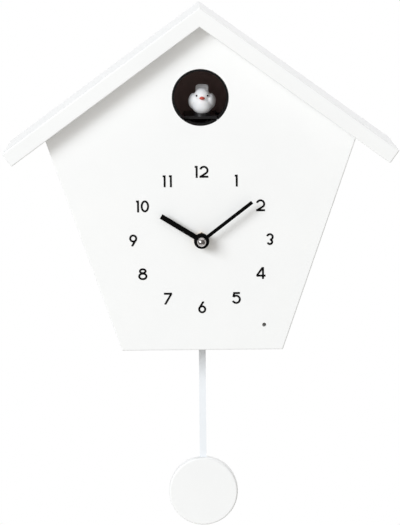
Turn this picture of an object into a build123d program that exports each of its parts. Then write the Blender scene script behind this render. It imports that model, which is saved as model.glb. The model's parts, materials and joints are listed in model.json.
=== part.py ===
from build123d import *
from math import acos, cos, hypot, pi, radians, sin, tan
import os

# House-shaped wall clock: a bird comes out of a round port and a pendulum swings below.
# Millimetres, +X right as seen from the front, +Y into the wall, +Z up.
# The origin is the keyhole of the hanger plate, on the wall plane y = 0.

# Wooden case
roof_width = 250.0
roof_pitch = radians(36.0)
roof_board = 10.0
case_depth = 87.0
roof_overhang = 12.0
front_board = 9.0
side_board = 9.0
base_board = 9.0
base_width = 102.6
side_lean = radians(19.2)
ridge_above_dial = 147.8
base_below_dial = 71.0
hanger_above_dial = 105.0
edge_round = 0.8
fitting_gap = 0.4

# Back panel, its cleats and screws
back_thickness = 3.0
back_recess = 5.0
cleat_length = 16.0
cleat_width = 12.0
cleat_depth = 18.0
side_cleat_starts = (12.0, 114.0)
roof_cleat_start = 34.0
screw_radius = 1.5
screw_head_radius = 2.9
screw_head_height = 1.6
screw_head_round = 1.0
screw_length = 14.0
hole_slack = 0.05

# Hanger
hanger_plate_thickness = 1.6
hanger_plate_width = 40.0
hanger_plate_low = -9.0
hanger_plate_high = 16.0
keyhole_radius = 4.5
keyhole_slot_width = 4.5
keyhole_slot_reach = 8.0
keyhole_pocket_radius = 6.5
keyhole_pocket_depth = 8.0
hanger_screw_spread = 15.0
hanger_block_half = 34.0
hanger_block_low = -13.0
hanger_block_depth = 18.0

# Dial
numeral_circle = 43.4
numeral_height = 7.6
numeral_stroke = 1.25
numeral_relief = 0.15
sensor_x = 39.5
sensor_below_dial = 55.0
sensor_window_radius = 1.3
sensor_radius = 2.5
sensor_length = 4.0
sensor_seat = 3.0

# Hands and their fixing
hour_hand_length = 30.0
hour_hand_width = 3.3
hour_hand_angle = radians(301.8)
minute_hand_length = 40.5
minute_hand_width = 2.2
minute_hand_angle = radians(52.6)
hand_thickness = 0.6
hand_boss_radius = 4.85
hour_hand_standoff = 4.6
minute_hand_standoff = 7.2
hour_collar = 0.8
minute_collar = 1.4
collar_wall = 1.0
cap_nut_radius = 2.8
cap_nut_length = 7.0
cap_nut_round = 2.75
fixing_nut_across_flats = 8.6
fixing_nut_height = 2.6
bush_radius = 3.5
bush_standout = 3.4
bush_flange_radius = 6.0
bush_flange = 0.8
gasket_radius = 9.0
gasket_thickness = 1.0
running_gap = 0.07
hour_tube_radius = 2.5
minute_arbor_radius = 1.55
clutch_arbor_radius = 1.2

# Clock movement
movement_width = 68.0
movement_above_dial = 34.0
movement_below_dial = 36.0
movement_depth = 19.0
movement_front_wall = 2.0
movement_rear_wall = 2.0
movement_side_wall = 1.6
front_shell_depth = 13.0
wheel_thickness = 1.0
pinion_thickness = 1.4
pinion_overlap = 0.2
hour_layer = 1.4
motion_layer = 3.4
centre_layer = 5.6
third_layer = 7.4
seconds_layer = 9.2
idler_layer = 11.0
stator_layer = 8.1
arbor_radius = 0.6
pivot_radius = 0.5
pivot_length = 1.0
end_play = 0.2

# Gear teeth: thirty-degree stub teeth keep small pinions free of undercut
pressure_angle = radians(30.0)
addendum = 0.8
dedendum = 1.05
tooth_thinning = 0.05
motion_module = 0.7
cannon_teeth = 10
motion_wheel_teeth = 30
motion_pinion_teeth = 8
hour_wheel_teeth = 32
train_module = 0.35
idler_module = 0.3
train_pinion_teeth = 8
centre_wheel_teeth = 64
third_wheel_teeth = 60
seconds_wheel_teeth = 40
idler_wheel_teeth = 48
third_direction = radians(135.0)
seconds_direction = radians(200.0)
idler_direction = radians(250.0)
rotor_direction = radians(300.0)

# Stepping motor, clock board and setting stem
rotor_magnet_radius = 3.0
rotor_magnet_length = 3.0
rotor_air_gap = 0.5
stator_thickness = 1.0
stator_leg = 4.0
stator_drop = 18.0
motor_coil_radius = 4.2
motor_coil_length = 15.0
clock_board_thickness = 1.0
clock_board_left = 4.0
clock_board_height = 16.0
clock_chip_width = 7.0
clock_chip_height = 1.6
crystal_radius = 1.2
crystal_length = 6.5
friction_washer_radius = 2.6
friction_washer_thickness = 0.5
setting_stem_radius = 2.0
setting_knob_radius = 7.0
setting_knob_height = 3.4
knob_ribs = 24
knob_groove_radius = 0.45

# Pendulum
pendulum_pivot_above_dial = 20.0
pendulum_pin_radius = 1.5
pendulum_pin_head_radius = 2.6
pendulum_pin_head = 1.0
pendulum_air_gap = 0.6
pendulum_arm_thickness = 2.5
pendulum_arm_width = 7.0
pendulum_eye_radius = 4.5
pendulum_arm_end_below_dial = 38.0
pendulum_magnet_radius = 4.0
pendulum_magnet_below_dial = 20.0
pendulum_magnet_rim = 1.6
pendulum_coil_radius = 6.0
pendulum_coil_bore = 2.0
pendulum_coil_length = 2.4
rod_width = 4.4
rod_thickness = 1.8
rod_peg_radius = 1.2
rod_peg_below_dial = 33.0
rod_top_below_dial = 29.0
bob_radius = 22.4
bob_thickness = 8.0
bob_round = 1.2
bob_below_dial = 169.6
rod_slot_length = 36.0
rod_slot_width = 11.0

# Bird port, bird box and carriage
port_above_dial = 90.5
port_radius = 18.0
sleeve_wall = 1.45
sleeve_flange_width = 2.5
sleeve_flange = 1.5
bird_box_side_room = 2.0
bird_box_wall = 1.5
bird_box_rear_gap = 2.4
bird_box_ear = 8.0
bird_box_ear_height = 9.0
bird_box_ear_thickness = 3.0
bird_box_ear_offset = 11.0
ear_screw_radius = 1.3
ear_screw_head_radius = 2.4
ear_screw_depth = 6.0
deck_width = 21.0
deck_thickness = 1.6
deck_front_setback = 6.5
deck_rear_gap = 2.0
deck_clearance = 0.6
deck_port_gap = 0.42
runner_width = 2.0
runner_spread = 6.0
runner_length = 14.5
runner_lift = 0.2
guide_width = 1.4
guide_height = 1.8
guide_gap = 0.3
rack_module = 0.6
bird_pinion_teeth = 12
bird_pinion_ahead = 26.0
bird_travel = 24.0
bird_pinion_thickness = 3.0
bird_shaft_radius = 1.5
gearbox_width = 12.0
gearbox_breadth = 10.0
gearbox_height = 9.0
bird_motor_radius = 5.0
bird_motor_length = 14.0

# Bird
bird_x = 1.2
bird_setback = 13.0
pedestal_radius = 5.4
pedestal_height = 1.5
bird_width = 14.0
bird_length = 17.0
body_back = 1.0
bird_waist = 6.0
head_radius = 5.1
head_height = 10.6
head_forward = 2.0
wing_root = 5.0
wing_thickness = 3.7
wing_round = 1.8
wing_length = 12.5
wing_height = 9.0
wing_back = 1.5
wing_up = 6.8
tail_width = 8.0
tail_thickness = 2.2
tail_height = 16.8
tail_back = 10.5
beak_length = 3.2
beak_root = 1.6
beak_radius = 2.1
beak_tip_radius = 0.25
eye_radius = 0.65
eye_spread = 3.4
eye_height = 11.5
beak_height = 10.0

# Loudspeaker, batteries, controls
speaker_x = 38.0
speaker_above_dial = 33.0
speaker_radius = 25.0
speaker_rim = 2.0
speaker_cone_radius = 21.0
speaker_magnet_radius = 12.0
speaker_basket_depth = 8.0
speaker_magnet_depth = 7.0
speaker_wall = 1.2
speaker_cone_skin = 0.7
speaker_cap_rise = 2.2
grille_hole_radius = 1.2
grille_ring_step = 4.8
grille_rings = 4
cell_radius = 7.1
cell_length = 49.2
cell_nub_radius = 2.7
cell_nub_length = 1.3
cell_round = 0.5
cell_spacing = 0.8
cell_count = 3
contact_thickness = 0.5
contact_width = 9.0
tray_side_gap = 3.1
tray_above_dial = 34.0
tray_wall = 1.4
tray_flange = 2.4
cell_slack = 0.4
door_overlap = 2.0
door_thickness = 1.6
door_lip = 1.8
door_lip_depth = 1.5
door_gap = 0.3
door_round = 0.5
door_grip_count = 4
door_grip_pitch = 3.0
door_grip_width = 18.0
door_grip_height = 0.7
board_width = 62.0
board_low_below_dial = 50.0
board_high_below_dial = 22.0
board_thickness = 1.6
board_standoff = 4.4
standoff_radius = 2.5
control_below_dial = 36.0
volume_x = -17.0
volume_knob_radius = 6.5
volume_shaft_radius = 3.0
volume_body = 9.5
button_x = 17.0
button_radius = 3.0
button_standout = 1.8
button_inset = 3.4
button_round = 0.6
switch_size = 6.0
switch_height = 1.6
sound_chip_width = 10.0
sound_chip_height = 2.0

# Places worked out from the sizes above
dial_z = -hanger_above_dial
ridge_z = dial_z + ridge_above_dial
soffit_z = ridge_z - roof_board / cos(roof_pitch)
base_z = dial_z - base_below_dial
port_z = dial_z + port_above_dial
sensor_z = dial_z - sensor_below_dial
roof_front_y = -case_depth
front_y = roof_front_y + roof_overhang
panel_back_y = front_y + front_board
back_outer_y = -back_recess
back_inner_y = back_outer_y - back_thickness
movement_front_y = panel_back_y + gasket_thickness
movement_rear_y = movement_front_y + movement_depth
plate_front_y = movement_front_y + movement_front_wall
plate_rear_y = movement_rear_y - movement_rear_wall
shell_split_y = movement_front_y + front_shell_depth
arm_front_y = movement_rear_y + pendulum_air_gap
arm_back_y = arm_front_y + pendulum_arm_thickness
rod_back_y = arm_back_y + rod_thickness
rod_y = arm_back_y + rod_thickness / 2
bob_z = dial_z - bob_below_dial
pendulum_pivot_z = dial_z + pendulum_pivot_above_dial
deck_low_z = port_z - ((port_radius - deck_port_gap) ** 2 - (deck_width / 2) ** 2) ** 0.5
deck_top_z = deck_low_z + deck_thickness
sleeve_flange_radius = port_radius + sleeve_flange_width
bird_box_half_width = port_radius + bird_box_side_room
bird_box_half_height = port_radius
bird_floor_z = port_z - bird_box_half_height
bird_box_front_y = panel_back_y + sleeve_flange
hanger_block_front_y = -hanger_plate_thickness - hanger_block_depth
bird_box_rear_y = hanger_block_front_y - bird_box_rear_gap
deck_front_y = front_y + deck_front_setback
deck_rear_y = bird_box_rear_y - bird_box_wall - deck_rear_gap
bird_pinion_y = deck_rear_y - bird_pinion_ahead
rack_pitch_x = deck_width / 2 - addendum * rack_module
bird_pinion_x = rack_pitch_x + rack_module * bird_pinion_teeth / 2
bird_y = front_y + bird_setback
bird_z = deck_top_z + pedestal_height
tray_z = dial_z + tray_above_dial
cell_pitch = 2 * cell_radius + cell_spacing
tray_width = cell_pitch * (cell_count - 1) + 2 * (cell_radius + cell_slack)
tray_length = cell_length + cell_nub_length + 2 * (contact_thickness + cell_slack)
tray_rim = tray_wall + tray_flange
tray_rim_low_z = tray_z - tray_length / 2 - tray_rim
inside_foot = base_width / 2 - side_board / cos(side_lean)
inside_half_at_tray = inside_foot + (tray_rim_low_z - base_z) * tan(side_lean)
tray_x = tray_side_gap + tray_rim + tray_width / 2 - inside_half_at_tray
speaker_z = dial_z + speaker_above_dial
control_z = dial_z - control_below_dial
board_rear_y = back_inner_y - board_standoff
board_front_y = board_rear_y - board_thickness


def polar(start, distance, direction):
    """Point at a distance from a start point in the XZ plane."""
    return (start[0] + distance * cos(direction), start[1] + distance * sin(direction))


def meshed_axis(start, module, teeth, direction):
    """Axis of a gear that meshes with one at the start point; teeth counts both gears."""
    return polar(start, module * teeth / 2, direction)


dial_at = (0.0, dial_z)
motion_at = meshed_axis(dial_at, motion_module, cannon_teeth + motion_wheel_teeth, 0.0)
third_at = meshed_axis(dial_at, train_module, centre_wheel_teeth + train_pinion_teeth, third_direction)
seconds_at = meshed_axis(third_at, train_module, third_wheel_teeth + train_pinion_teeth, seconds_direction)
idler_at = meshed_axis(seconds_at, train_module, seconds_wheel_teeth + train_pinion_teeth, idler_direction)
rotor_at = meshed_axis(idler_at, idler_module, idler_wheel_teeth + train_pinion_teeth, rotor_direction)
pivots_at = [third_at, seconds_at, idler_at, rotor_at]


def prism(points, y_back, y_front):
    """Closed XZ outline, carried from y_back towards the viewer to y_front."""
    face = make_face(Polyline(*points, close=True))
    return extrude(Plane.XZ.offset(-y_back) * face, amount=y_back - y_front, dir=(0, -1, 0))


def disc(at, radius, y_back, y_front):
    """Round bar along Y through a point of the XZ plane."""
    face = Plane.XZ.offset(-y_back) * Pos(at[0], at[1]) * Circle(radius)
    return extrude(face, amount=y_back - y_front, dir=(0, -1, 0))


def ring(at, outer, inner, y_back, y_front):
    """Round tube along Y."""
    return disc(at, outer, y_back, y_front) - disc(at, inner, y_back, y_front)


def pillar(x, y, radius, z_low, z_high):
    """Round bar along Z."""
    return extrude(Plane.XY.offset(z_low) * Pos(x, y) * Circle(radius), amount=z_high - z_low)


def crossbar(x, y, z, radius, length):
    """Round bar along +X from a point."""
    seat = Plane(origin=(x, y, z), x_dir=(0, 1, 0), z_dir=(1, 0, 0))
    return extrude(seat * Circle(radius), amount=length, dir=(1, 0, 0))


def block(xs, ys, zs):
    """Box between low and high limits on each axis."""
    middle = Pos((xs[0] + xs[1]) / 2, (ys[0] + ys[1]) / 2, (zs[0] + zs[1]) / 2)
    return middle * Box(xs[1] - xs[0], ys[1] - ys[0], zs[1] - zs[0])


def span(middle, half):
    """Low and high limits about a middle."""
    return (middle - half, middle + half)


def turned(points, at, y):
    """Outline of (radius, distance in front of y), turned about the Y axis through a point."""
    seat = Plane(origin=(at[0], y, at[1]), x_dir=(1, 0, 0), z_dir=(0, 0, -1))
    face = seat * make_face(Polyline(*points, close=True))
    return revolve(face, axis=Axis((at[0], y, at[1]), (0, 1, 0)))


def egg(width, length, x, y, z):
    """Ellipsoid about a centre, round across and longer along Y."""
    arc = EllipticalCenterArc((0, 0), width / 2, length / 2, -90, arc_size=180)
    half = make_face([arc, Line((0, length / 2), (0, -length / 2))])
    return Pos(x, y, z) * revolve(half, axis=Axis.Y)


def wing(side):
    """Folded wing on one side of the bird, rounded outwards."""
    seat = Plane(origin=(bird_x + side * wing_root, bird_y + wing_back, bird_z + wing_up), x_dir=(0, 1, 0),
                 z_dir=(side, 0, 0))
    shape = extrude(seat * Ellipse(wing_length / 2, wing_height / 2), amount=wing_thickness)
    outer = shape.edges().sort_by(Axis.X)[-1 if side > 0 else 0]
    return fillet(outer, wing_round)


def both_sides(piece):
    """A piece and its mirror image across the middle plane."""
    return [piece, mirror(piece, about=Plane.YZ)]


def house(side=0.0, base=0.0, roof=0.0):
    """Corners of the case outline, moved in from its sides, base and soffit."""
    foot = base_width / 2 - side / cos(side_lean)
    low_z = base_z + base
    low_x = foot + base * tan(side_lean)
    top_z = soffit_z - roof / cos(roof_pitch)
    eave_x = (foot + (top_z - base_z) * tan(side_lean)) / (1 + tan(roof_pitch) * tan(side_lean))
    eave_z = top_z - eave_x * tan(roof_pitch)
    return [(-low_x, low_z), (low_x, low_z), (eave_x, eave_z), (0.0, top_z), (-eave_x, eave_z)]


def ear_screw_places():
    """Centres of the four screws that hold the bird box."""
    x = bird_box_half_width + bird_box_wall + bird_box_ear / 2
    return [(sx * x, port_z + sz * bird_box_ear_offset) for sx in (-1, 1) for sz in (-1, 1)]


def front_panel():
    panel = prism(house(), panel_back_y, front_y)
    panel = fillet(panel.faces().sort_by(Axis.Y)[0].edges(), edge_round)
    panel -= disc((0, port_z), port_radius, panel_back_y, front_y)
    panel -= disc(dial_at, bush_radius + hole_slack, panel_back_y, front_y)
    sensor_at = (sensor_x, sensor_z)
    panel -= disc(sensor_at, sensor_window_radius, panel_back_y, front_y)
    panel -= disc(sensor_at, sensor_radius + hole_slack, panel_back_y, panel_back_y - sensor_seat)
    for at in ear_screw_places():
        panel -= disc(at, ear_screw_radius + hole_slack, panel_back_y, panel_back_y - ear_screw_depth)
    return panel


def side_boards():
    outer = house()
    inner = house(side=side_board)
    return both_sides(prism([outer[1], outer[2], inner[2], inner[1]], 0.0, panel_back_y))


def base_board_piece():
    lower = house(side=side_board)
    upper = house(side=side_board, base=base_board)
    board = prism([lower[0], lower[1], upper[1], upper[0]], 0.0, panel_back_y)
    slot = Plane.XY.offset(base_z) * Pos(0, rod_y) * SlotOverall(rod_slot_length, rod_slot_width)
    return board - extrude(slot, amount=base_board)


def roof_boards():
    half = roof_width / 2
    eave_z = ridge_z - half * tan(roof_pitch)
    tip = (half - roof_board * sin(roof_pitch), eave_z - roof_board * cos(roof_pitch))
    board = prism([(0, ridge_z), (half, eave_z), tip, (0, soffit_z)], 0.0, roof_front_y)
    eased = [e for e in board.edges() if e.center().X > edge_round and e.center().Y < -edge_round]
    return both_sides(fillet(eased, edge_round))


def cleat(corners, first, start):
    """Block glued along one inner wall of the case, and the screw centre in it."""
    (x0, z0), (x1, z1) = corners[first], corners[first + 1]
    length = hypot(x1 - x0, z1 - z0)
    along = ((x1 - x0) / length, (z1 - z0) / length)
    inward = (-along[1], along[0])

    def point(a, b):
        return (x0 + a * along[0] + b * inward[0], z0 + a * along[1] + b * inward[1])

    outline = [point(start, 0), point(start + cleat_length, 0)]
    outline += [point(start + cleat_length, cleat_width), point(start, cleat_width)]
    return outline, point(start + cleat_length / 2, cleat_width / 2)


def right_cleats():
    """Outlines and screw centres of the three cleats on the right of the case."""
    inner = house(side=side_board)
    cleats = [cleat(inner, 1, start) for start in side_cleat_starts]
    return cleats + [cleat(inner, 2, roof_cleat_start)]


def back_screw_places():
    return [(sx * x, z) for _, (x, z) in right_cleats() for sx in (-1, 1)]


def back_panel_cleats():
    solids = []
    for outline, at in right_cleats():
        piece = prism(outline, back_inner_y, back_inner_y - cleat_depth)
        piece -= disc(at, screw_radius + hole_slack, back_inner_y, back_inner_y - screw_length)
        solids += both_sides(piece)
    return solids


def grille_places():
    """Centres of the sound holes, in rings about the loudspeaker's axis."""
    middle = (speaker_x, speaker_z)
    places = [middle]
    for index in range(1, grille_rings + 1):
        count = 6 * index
        places += [polar(middle, index * grille_ring_step, 2 * pi * k / count) for k in range(count)]
    return places


def standoff_places():
    """Centres of the four posts that carry the main board."""
    x = board_width / 2 - standoff_radius
    z_low = dial_z - board_low_below_dial + standoff_radius
    z_high = dial_z - board_high_below_dial - standoff_radius
    return [(sx * x, z) for sx in (-1, 1) for z in (z_low, z_high)]


def back_panel():
    outline = house(side_board + fitting_gap, base_board + fitting_gap, fitting_gap)
    top_z = hanger_block_low - fitting_gap
    top_x = (outline[3][1] - top_z) / tan(roof_pitch)
    outline[3:4] = [(top_x, top_z), (-top_x, top_z)]
    panel = prism(outline, back_outer_y, back_inner_y)
    opening = (span(tray_x, tray_width / 2), span(tray_z, tray_length / 2))
    panel -= block(opening[0], (back_inner_y, back_outer_y), opening[1])
    holes = [(at, screw_radius + hole_slack) for at in back_screw_places()]
    holes += [(at, grille_hole_radius) for at in grille_places()]
    holes += [((volume_x, control_z), volume_shaft_radius + fitting_gap)]
    holes += [((button_x, control_z), button_radius + fitting_gap)]
    holes += [(motion_at, setting_stem_radius + fitting_gap)]
    faces = [Pos(at[0], at[1]) * Circle(radius) for at, radius in holes]
    pattern = Plane.XZ.offset(-back_outer_y) * Sketch(children=faces)
    return panel - extrude(pattern, amount=back_thickness, dir=(0, -1, 0))


def back_panel_screws():
    solids = []
    for at in back_screw_places():
        head = disc(at, screw_head_radius, back_outer_y + screw_head_height, back_outer_y)
        head = fillet(head.edges().sort_by(Axis.Y)[-1], screw_head_round)
        shank_front = back_inner_y - screw_length + end_play
        solids.append(head + disc(at, screw_radius, back_outer_y, shank_front))
    return solids


def hanger_screw_places():
    z = (hanger_plate_low + hanger_plate_high) / 2
    return [(-hanger_screw_spread, z), (hanger_screw_spread, z)]


def keyhole_slot(radius, y_back, y_front):
    """Upward slot of the keyhole, with a round end."""
    slot = block((-radius, radius), (y_front, y_back), (0.0, keyhole_slot_reach))
    return slot + disc((0, keyhole_slot_reach), radius, y_back, y_front)


def hanger_plate():
    half = hanger_plate_width / 2
    plate = block((-half, half), (-hanger_plate_thickness, 0.0), (hanger_plate_low, hanger_plate_high))
    plate = fillet(plate.edges().filter_by(Axis.Y), keyhole_radius)
    plate -= disc((0, 0), keyhole_radius, 0.0, -hanger_plate_thickness)
    plate -= keyhole_slot(keyhole_slot_width / 2, 0.0, -hanger_plate_thickness)
    for at in hanger_screw_places():
        plate -= turned(countersink(hole_slack), at, 0.0)
    return plate


def countersink(slack):
    """Outline of a countersunk screw or its hole, flush with the plate's face."""
    rim = screw_head_radius + slack
    shank = screw_radius + slack
    tip = hanger_plate_thickness + screw_length + slack
    return [(0, 0), (rim, 0), (shank, rim - shank), (shank, tip), (0, tip)]


def hanger_screws():
    return [turned(countersink(0.0), at, 0.0) for at in hanger_screw_places()]


def hanger_block():
    half = hanger_block_half
    shoulder_z = soffit_z - half * tan(roof_pitch)
    outline = [(-half, hanger_block_low), (half, hanger_block_low)]
    outline += [(half, shoulder_z), (0, soffit_z), (-half, shoulder_z)]
    piece = prism(outline, -hanger_plate_thickness, hanger_block_front_y)
    pocket_front = -hanger_plate_thickness - keyhole_pocket_depth
    piece -= disc((0, 0), keyhole_pocket_radius, -hanger_plate_thickness, pocket_front)
    piece -= keyhole_slot(keyhole_pocket_radius, -hanger_plate_thickness, pocket_front)
    for at in hanger_screw_places():
        piece -= turned(countersink(hole_slack), at, 0.0)
    return piece


def bar_stroke(x0, y0, x1, y1):
    """Straight pen stroke of a numeral."""
    return trace(Line((x0, y0), (x1, y1)), line_width=numeral_stroke)


def arc_stroke(x, y, radius, start, sweep):
    """Round pen stroke of a numeral, angles in degrees."""
    return trace(CenterArc((x, y), radius, start, sweep), line_width=numeral_stroke)


def oval_stroke(x, y, x_radius, y_radius):
    """Closed oval pen stroke, sizes taken to its outside."""
    oval = Ellipse(x_radius, y_radius) - Ellipse(x_radius - numeral_stroke, y_radius - numeral_stroke)
    return Pos(x, y) * oval


def figure(digit):
    """One plain figure about its centre, drawn with straight and round pen strokes."""
    unit = numeral_height
    top = unit / 2
    pen_top = top - numeral_stroke / 2
    bowl = 0.305 * unit
    cell = Rectangle(0.78 * unit, unit)
    if digit == 0:
        return oval_stroke(0, 0, 0.35 * unit, top)
    if digit == 1:
        return bar_stroke(0, -top, 0, top) + bar_stroke(0, pen_top, -0.16 * unit, pen_top)
    if digit == 2:
        turn = radians(38)
        hook_y = pen_top - bowl
        strokes = arc_stroke(0, hook_y, bowl, -38, 200)
        hook_end = (bowl * cos(turn), hook_y - bowl * sin(turn))
        strokes += bar_stroke(*hook_end, -0.33 * unit, -pen_top - 0.03 * unit)
        return (strokes + bar_stroke(-0.37 * unit, -pen_top, 0.37 * unit, -pen_top)) & cell
    if digit == 3:
        upper = 0.23 * unit
        lower = pen_top - upper
        strokes = arc_stroke(0, pen_top - upper, upper, -90, 255)
        return strokes + arc_stroke(0, lower - pen_top, lower, -165, 255)
    if digit == 4:
        stem_x = 0.17 * unit
        bar_y = -0.22 * unit
        strokes = bar_stroke(stem_x, -top, stem_x, top)
        strokes += bar_stroke(-0.36 * unit, bar_y, 0.38 * unit, bar_y)
        return (strokes + bar_stroke(stem_x, top, -0.38 * unit, bar_y - numeral_stroke / 4)) & cell
    if digit == 5:
        start = radians(140)
        bowl_y = bowl - pen_top
        stem_x = -0.15 * unit
        strokes = bar_stroke(stem_x - numeral_stroke / 3, pen_top, 0.32 * unit, pen_top)
        strokes += bar_stroke(bowl * cos(start), bowl_y + bowl * sin(start), stem_x, top)
        return strokes + arc_stroke(0, bowl_y, bowl, -155, 295)
    if digit == 6:
        outer = 0.335 * unit
        bowl_y = outer - top
        side = radians(148)
        reach = outer - numeral_stroke / 2
        foot_x = reach * cos(side)
        foot_y = bowl_y + reach * sin(side)
        head_x = foot_x + (top - foot_y) * tan(radians(32))
        bowl_ring = Circle(outer) - Circle(outer - numeral_stroke)
        return (Pos(0, bowl_y) * bowl_ring + bar_stroke(foot_x, foot_y, head_x, top)) & cell
    if digit == 7:
        bar = bar_stroke(-0.34 * unit, pen_top, 0.34 * unit, pen_top)
        return (bar + bar_stroke(0.29 * unit, pen_top, -0.26 * unit, -top - 0.01 * unit)) & cell
    if digit == 8:
        upper = 0.245 * unit
        lower = 0.315 * unit
        rings = oval_stroke(0, top - upper, 0.315 * unit, upper)
        return rings + oval_stroke(0, lower - top, 0.385 * unit, lower)
    return Rot(0, 0, 180) * figure(6)


def dial_numerals():
    solids = []
    figure_shifts = {1: (0.12,), 10: (-0.33, 0.24), 11: (-0.18, 0.34), 12: (-0.36, 0.24)}
    for hour in range(1, 13):
        at = polar(dial_at, numeral_circle, pi / 2 - hour * pi / 6)
        shifts = figure_shifts.get(hour, (0.0,))
        for figure_text, shift in zip(str(hour), shifts):
            place = Plane.XZ.offset(-front_y) * Pos(at[0] + shift * numeral_height, at[1])
            solids.append(extrude(place * figure(int(figure_text)), amount=numeral_relief, dir=(0, -1, 0)))
    return solids


def light_sensor():
    at = (sensor_x, sensor_z)
    return disc(at, sensor_radius, panel_back_y + sensor_length - sensor_seat, panel_back_y - sensor_seat)


def port_sleeve():
    outer = port_radius - hole_slack
    sleeve = disc((0, port_z), outer, panel_back_y, front_y)
    sleeve += disc((0, port_z), sleeve_flange_radius, bird_box_front_y, panel_back_y)
    sleeve -= disc((0, port_z), outer - sleeve_wall, bird_box_front_y, front_y)
    half = deck_width / 2 + deck_clearance
    notch_z = (deck_low_z - deck_clearance, deck_top_z + deck_clearance)
    return sleeve - block((-half, half), (front_y, bird_box_front_y), notch_z)


def hand(length, width, angle, standoff, collar, bore):
    """Straight hand with a round boss and a collar behind it."""
    y_back = front_y - standoff
    y_front = y_back - hand_thickness
    along = (sin(angle), cos(angle))
    across = (along[1] * width / 2, -along[0] * width / 2)
    tip = (length * along[0], dial_z + length * along[1])
    corners = [(across[0], dial_z + across[1]), (tip[0] + across[0], tip[1] + across[1])]
    corners += [(tip[0] - across[0], tip[1] - across[1]), (-across[0], dial_z - across[1])]
    piece = prism(corners, y_back, y_front) + disc(dial_at, hand_boss_radius, y_back, y_front)
    piece += disc(dial_at, bore + collar_wall, y_back + collar, y_back)
    return piece - disc(dial_at, bore, y_back + collar, y_front)


def hour_hand():
    shape = (hour_hand_length, hour_hand_width, hour_hand_angle)
    return hand(*shape, hour_hand_standoff, hour_collar, hour_tube_radius)


def minute_hand():
    shape = (minute_hand_length, minute_hand_width, minute_hand_angle)
    return hand(*shape, minute_hand_standoff, minute_collar, minute_arbor_radius)


def cap_nut_faces():
    """Rear and front of the cap nut."""
    rear = front_y - minute_hand_standoff - hand_thickness
    return rear, rear - cap_nut_length


def cap_nut():
    rear, front = cap_nut_faces()
    nut = disc(dial_at, cap_nut_radius, rear, front)
    nut = fillet(nut.edges().sort_by(Axis.Y)[0], cap_nut_round)
    return nut - disc(dial_at, minute_arbor_radius, rear, front + cap_nut_round)


def fixing_nut():
    hexagon = RegularPolygon(fixing_nut_across_flats / 2, 6, major_radius=False, rotation=30)
    seat = Plane.XZ.offset(-front_y) * Pos(0, dial_z)
    nut = extrude(seat * hexagon, amount=fixing_nut_height, dir=(0, -1, 0))
    return nut - disc(dial_at, bush_radius, front_y, front_y - fixing_nut_height)


def rubber_gasket():
    return ring(dial_at, gasket_radius, bush_radius + hole_slack, movement_front_y, panel_back_y)


def threaded_bush():
    bush = disc(dial_at, bush_radius, plate_front_y, front_y - bush_standout)
    bush += disc(dial_at, bush_flange_radius, plate_front_y + bush_flange, plate_front_y)
    bore = hour_tube_radius + running_gap
    return bush - disc(dial_at, bore, plate_front_y + bush_flange, front_y - bush_standout)


def gear(teeth, module, at, tooth_direction, y_back, y_front):
    """Spur gear with a tooth pointing in a given direction of the XZ plane."""
    pitch_r = module * teeth / 2
    base_r = pitch_r * cos(pressure_angle)
    root_r = pitch_r - dedendum * module
    tip_r = pitch_r + addendum * module
    half_tooth = (pi * module / 2 - tooth_thinning) / (2 * pitch_r)

    def involute(radius):
        angle = acos(min(1.0, base_r / radius))
        return tan(angle) - angle

    def half_angle(radius):
        return half_tooth + involute(pitch_r) - involute(max(radius, base_r))

    radii = (root_r, max(root_r, base_r) + 0.02 * module, pitch_r, tip_r)
    flank = [(radius, half_angle(radius)) for radius in radii]
    points = []
    for index in range(teeth):
        middle = tooth_direction + 2 * pi * index / teeth
        points += [polar(at, radius, middle - half) for radius, half in flank]
        points += [polar(at, radius, middle + half) for radius, half in reversed(flank)]
    return prism(points, y_back, y_front)


def gap_direction(teeth, direction):
    """Tooth direction that puts a gap between teeth opposite a tooth of the partner."""
    return direction + pi + pi / teeth


def wheel_gear(teeth, module, at, direction, layer):
    """Wheel in its layer of the movement, with a tooth towards its partner."""
    front = plate_front_y + layer
    return gear(teeth, module, at, direction, front + wheel_thickness, front)


def pinion_gear(teeth, module, at, direction, layer):
    """Pinion opposite a wheel's layer, with a gap towards that wheel."""
    front = plate_front_y + layer - pinion_overlap
    return gear(teeth, module, at, gap_direction(teeth, direction), front + pinion_thickness, front)


def arbor(at):
    """Thin arbor between the two plates, with a pivot at each end."""
    shaft = disc(at, arbor_radius, plate_rear_y - end_play, plate_front_y + end_play)
    return shaft + disc(at, pivot_radius, plate_rear_y + pivot_length, plate_front_y - pivot_length)


def hour_wheel():
    wheel = wheel_gear(hour_wheel_teeth, motion_module, dial_at, 0.0, hour_layer)
    wheel_rear = plate_front_y + hour_layer + wheel_thickness
    tube_front = front_y - hour_hand_standoff - hand_thickness
    wheel += disc(dial_at, hour_tube_radius, wheel_rear, tube_front)
    return wheel - disc(dial_at, minute_arbor_radius + running_gap, wheel_rear, tube_front)


def minute_arbor():
    pinion = pinion_gear(cannon_teeth, motion_module, dial_at, pi, motion_layer)
    pinion_rear = plate_front_y + motion_layer - pinion_overlap + pinion_thickness
    front = cap_nut_faces()[1] + cap_nut_round + end_play
    shaft = disc(dial_at, minute_arbor_radius, pinion_rear, front)
    shaft += disc(dial_at, clutch_arbor_radius, plate_rear_y - end_play, pinion_rear)
    return pinion + shaft + disc(dial_at, pivot_radius, plate_rear_y + pivot_length, pinion_rear)


def friction_washer():
    front = plate_front_y + motion_layer - pinion_overlap + pinion_thickness
    rear = front + friction_washer_thickness
    return ring(dial_at, friction_washer_radius, clutch_arbor_radius, rear, front)


def centre_wheel():
    wheel = wheel_gear(centre_wheel_teeth, train_module, dial_at, third_direction, centre_layer)
    front = plate_front_y + centre_layer
    return wheel - disc(dial_at, clutch_arbor_radius + running_gap, front + wheel_thickness, front)


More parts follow.
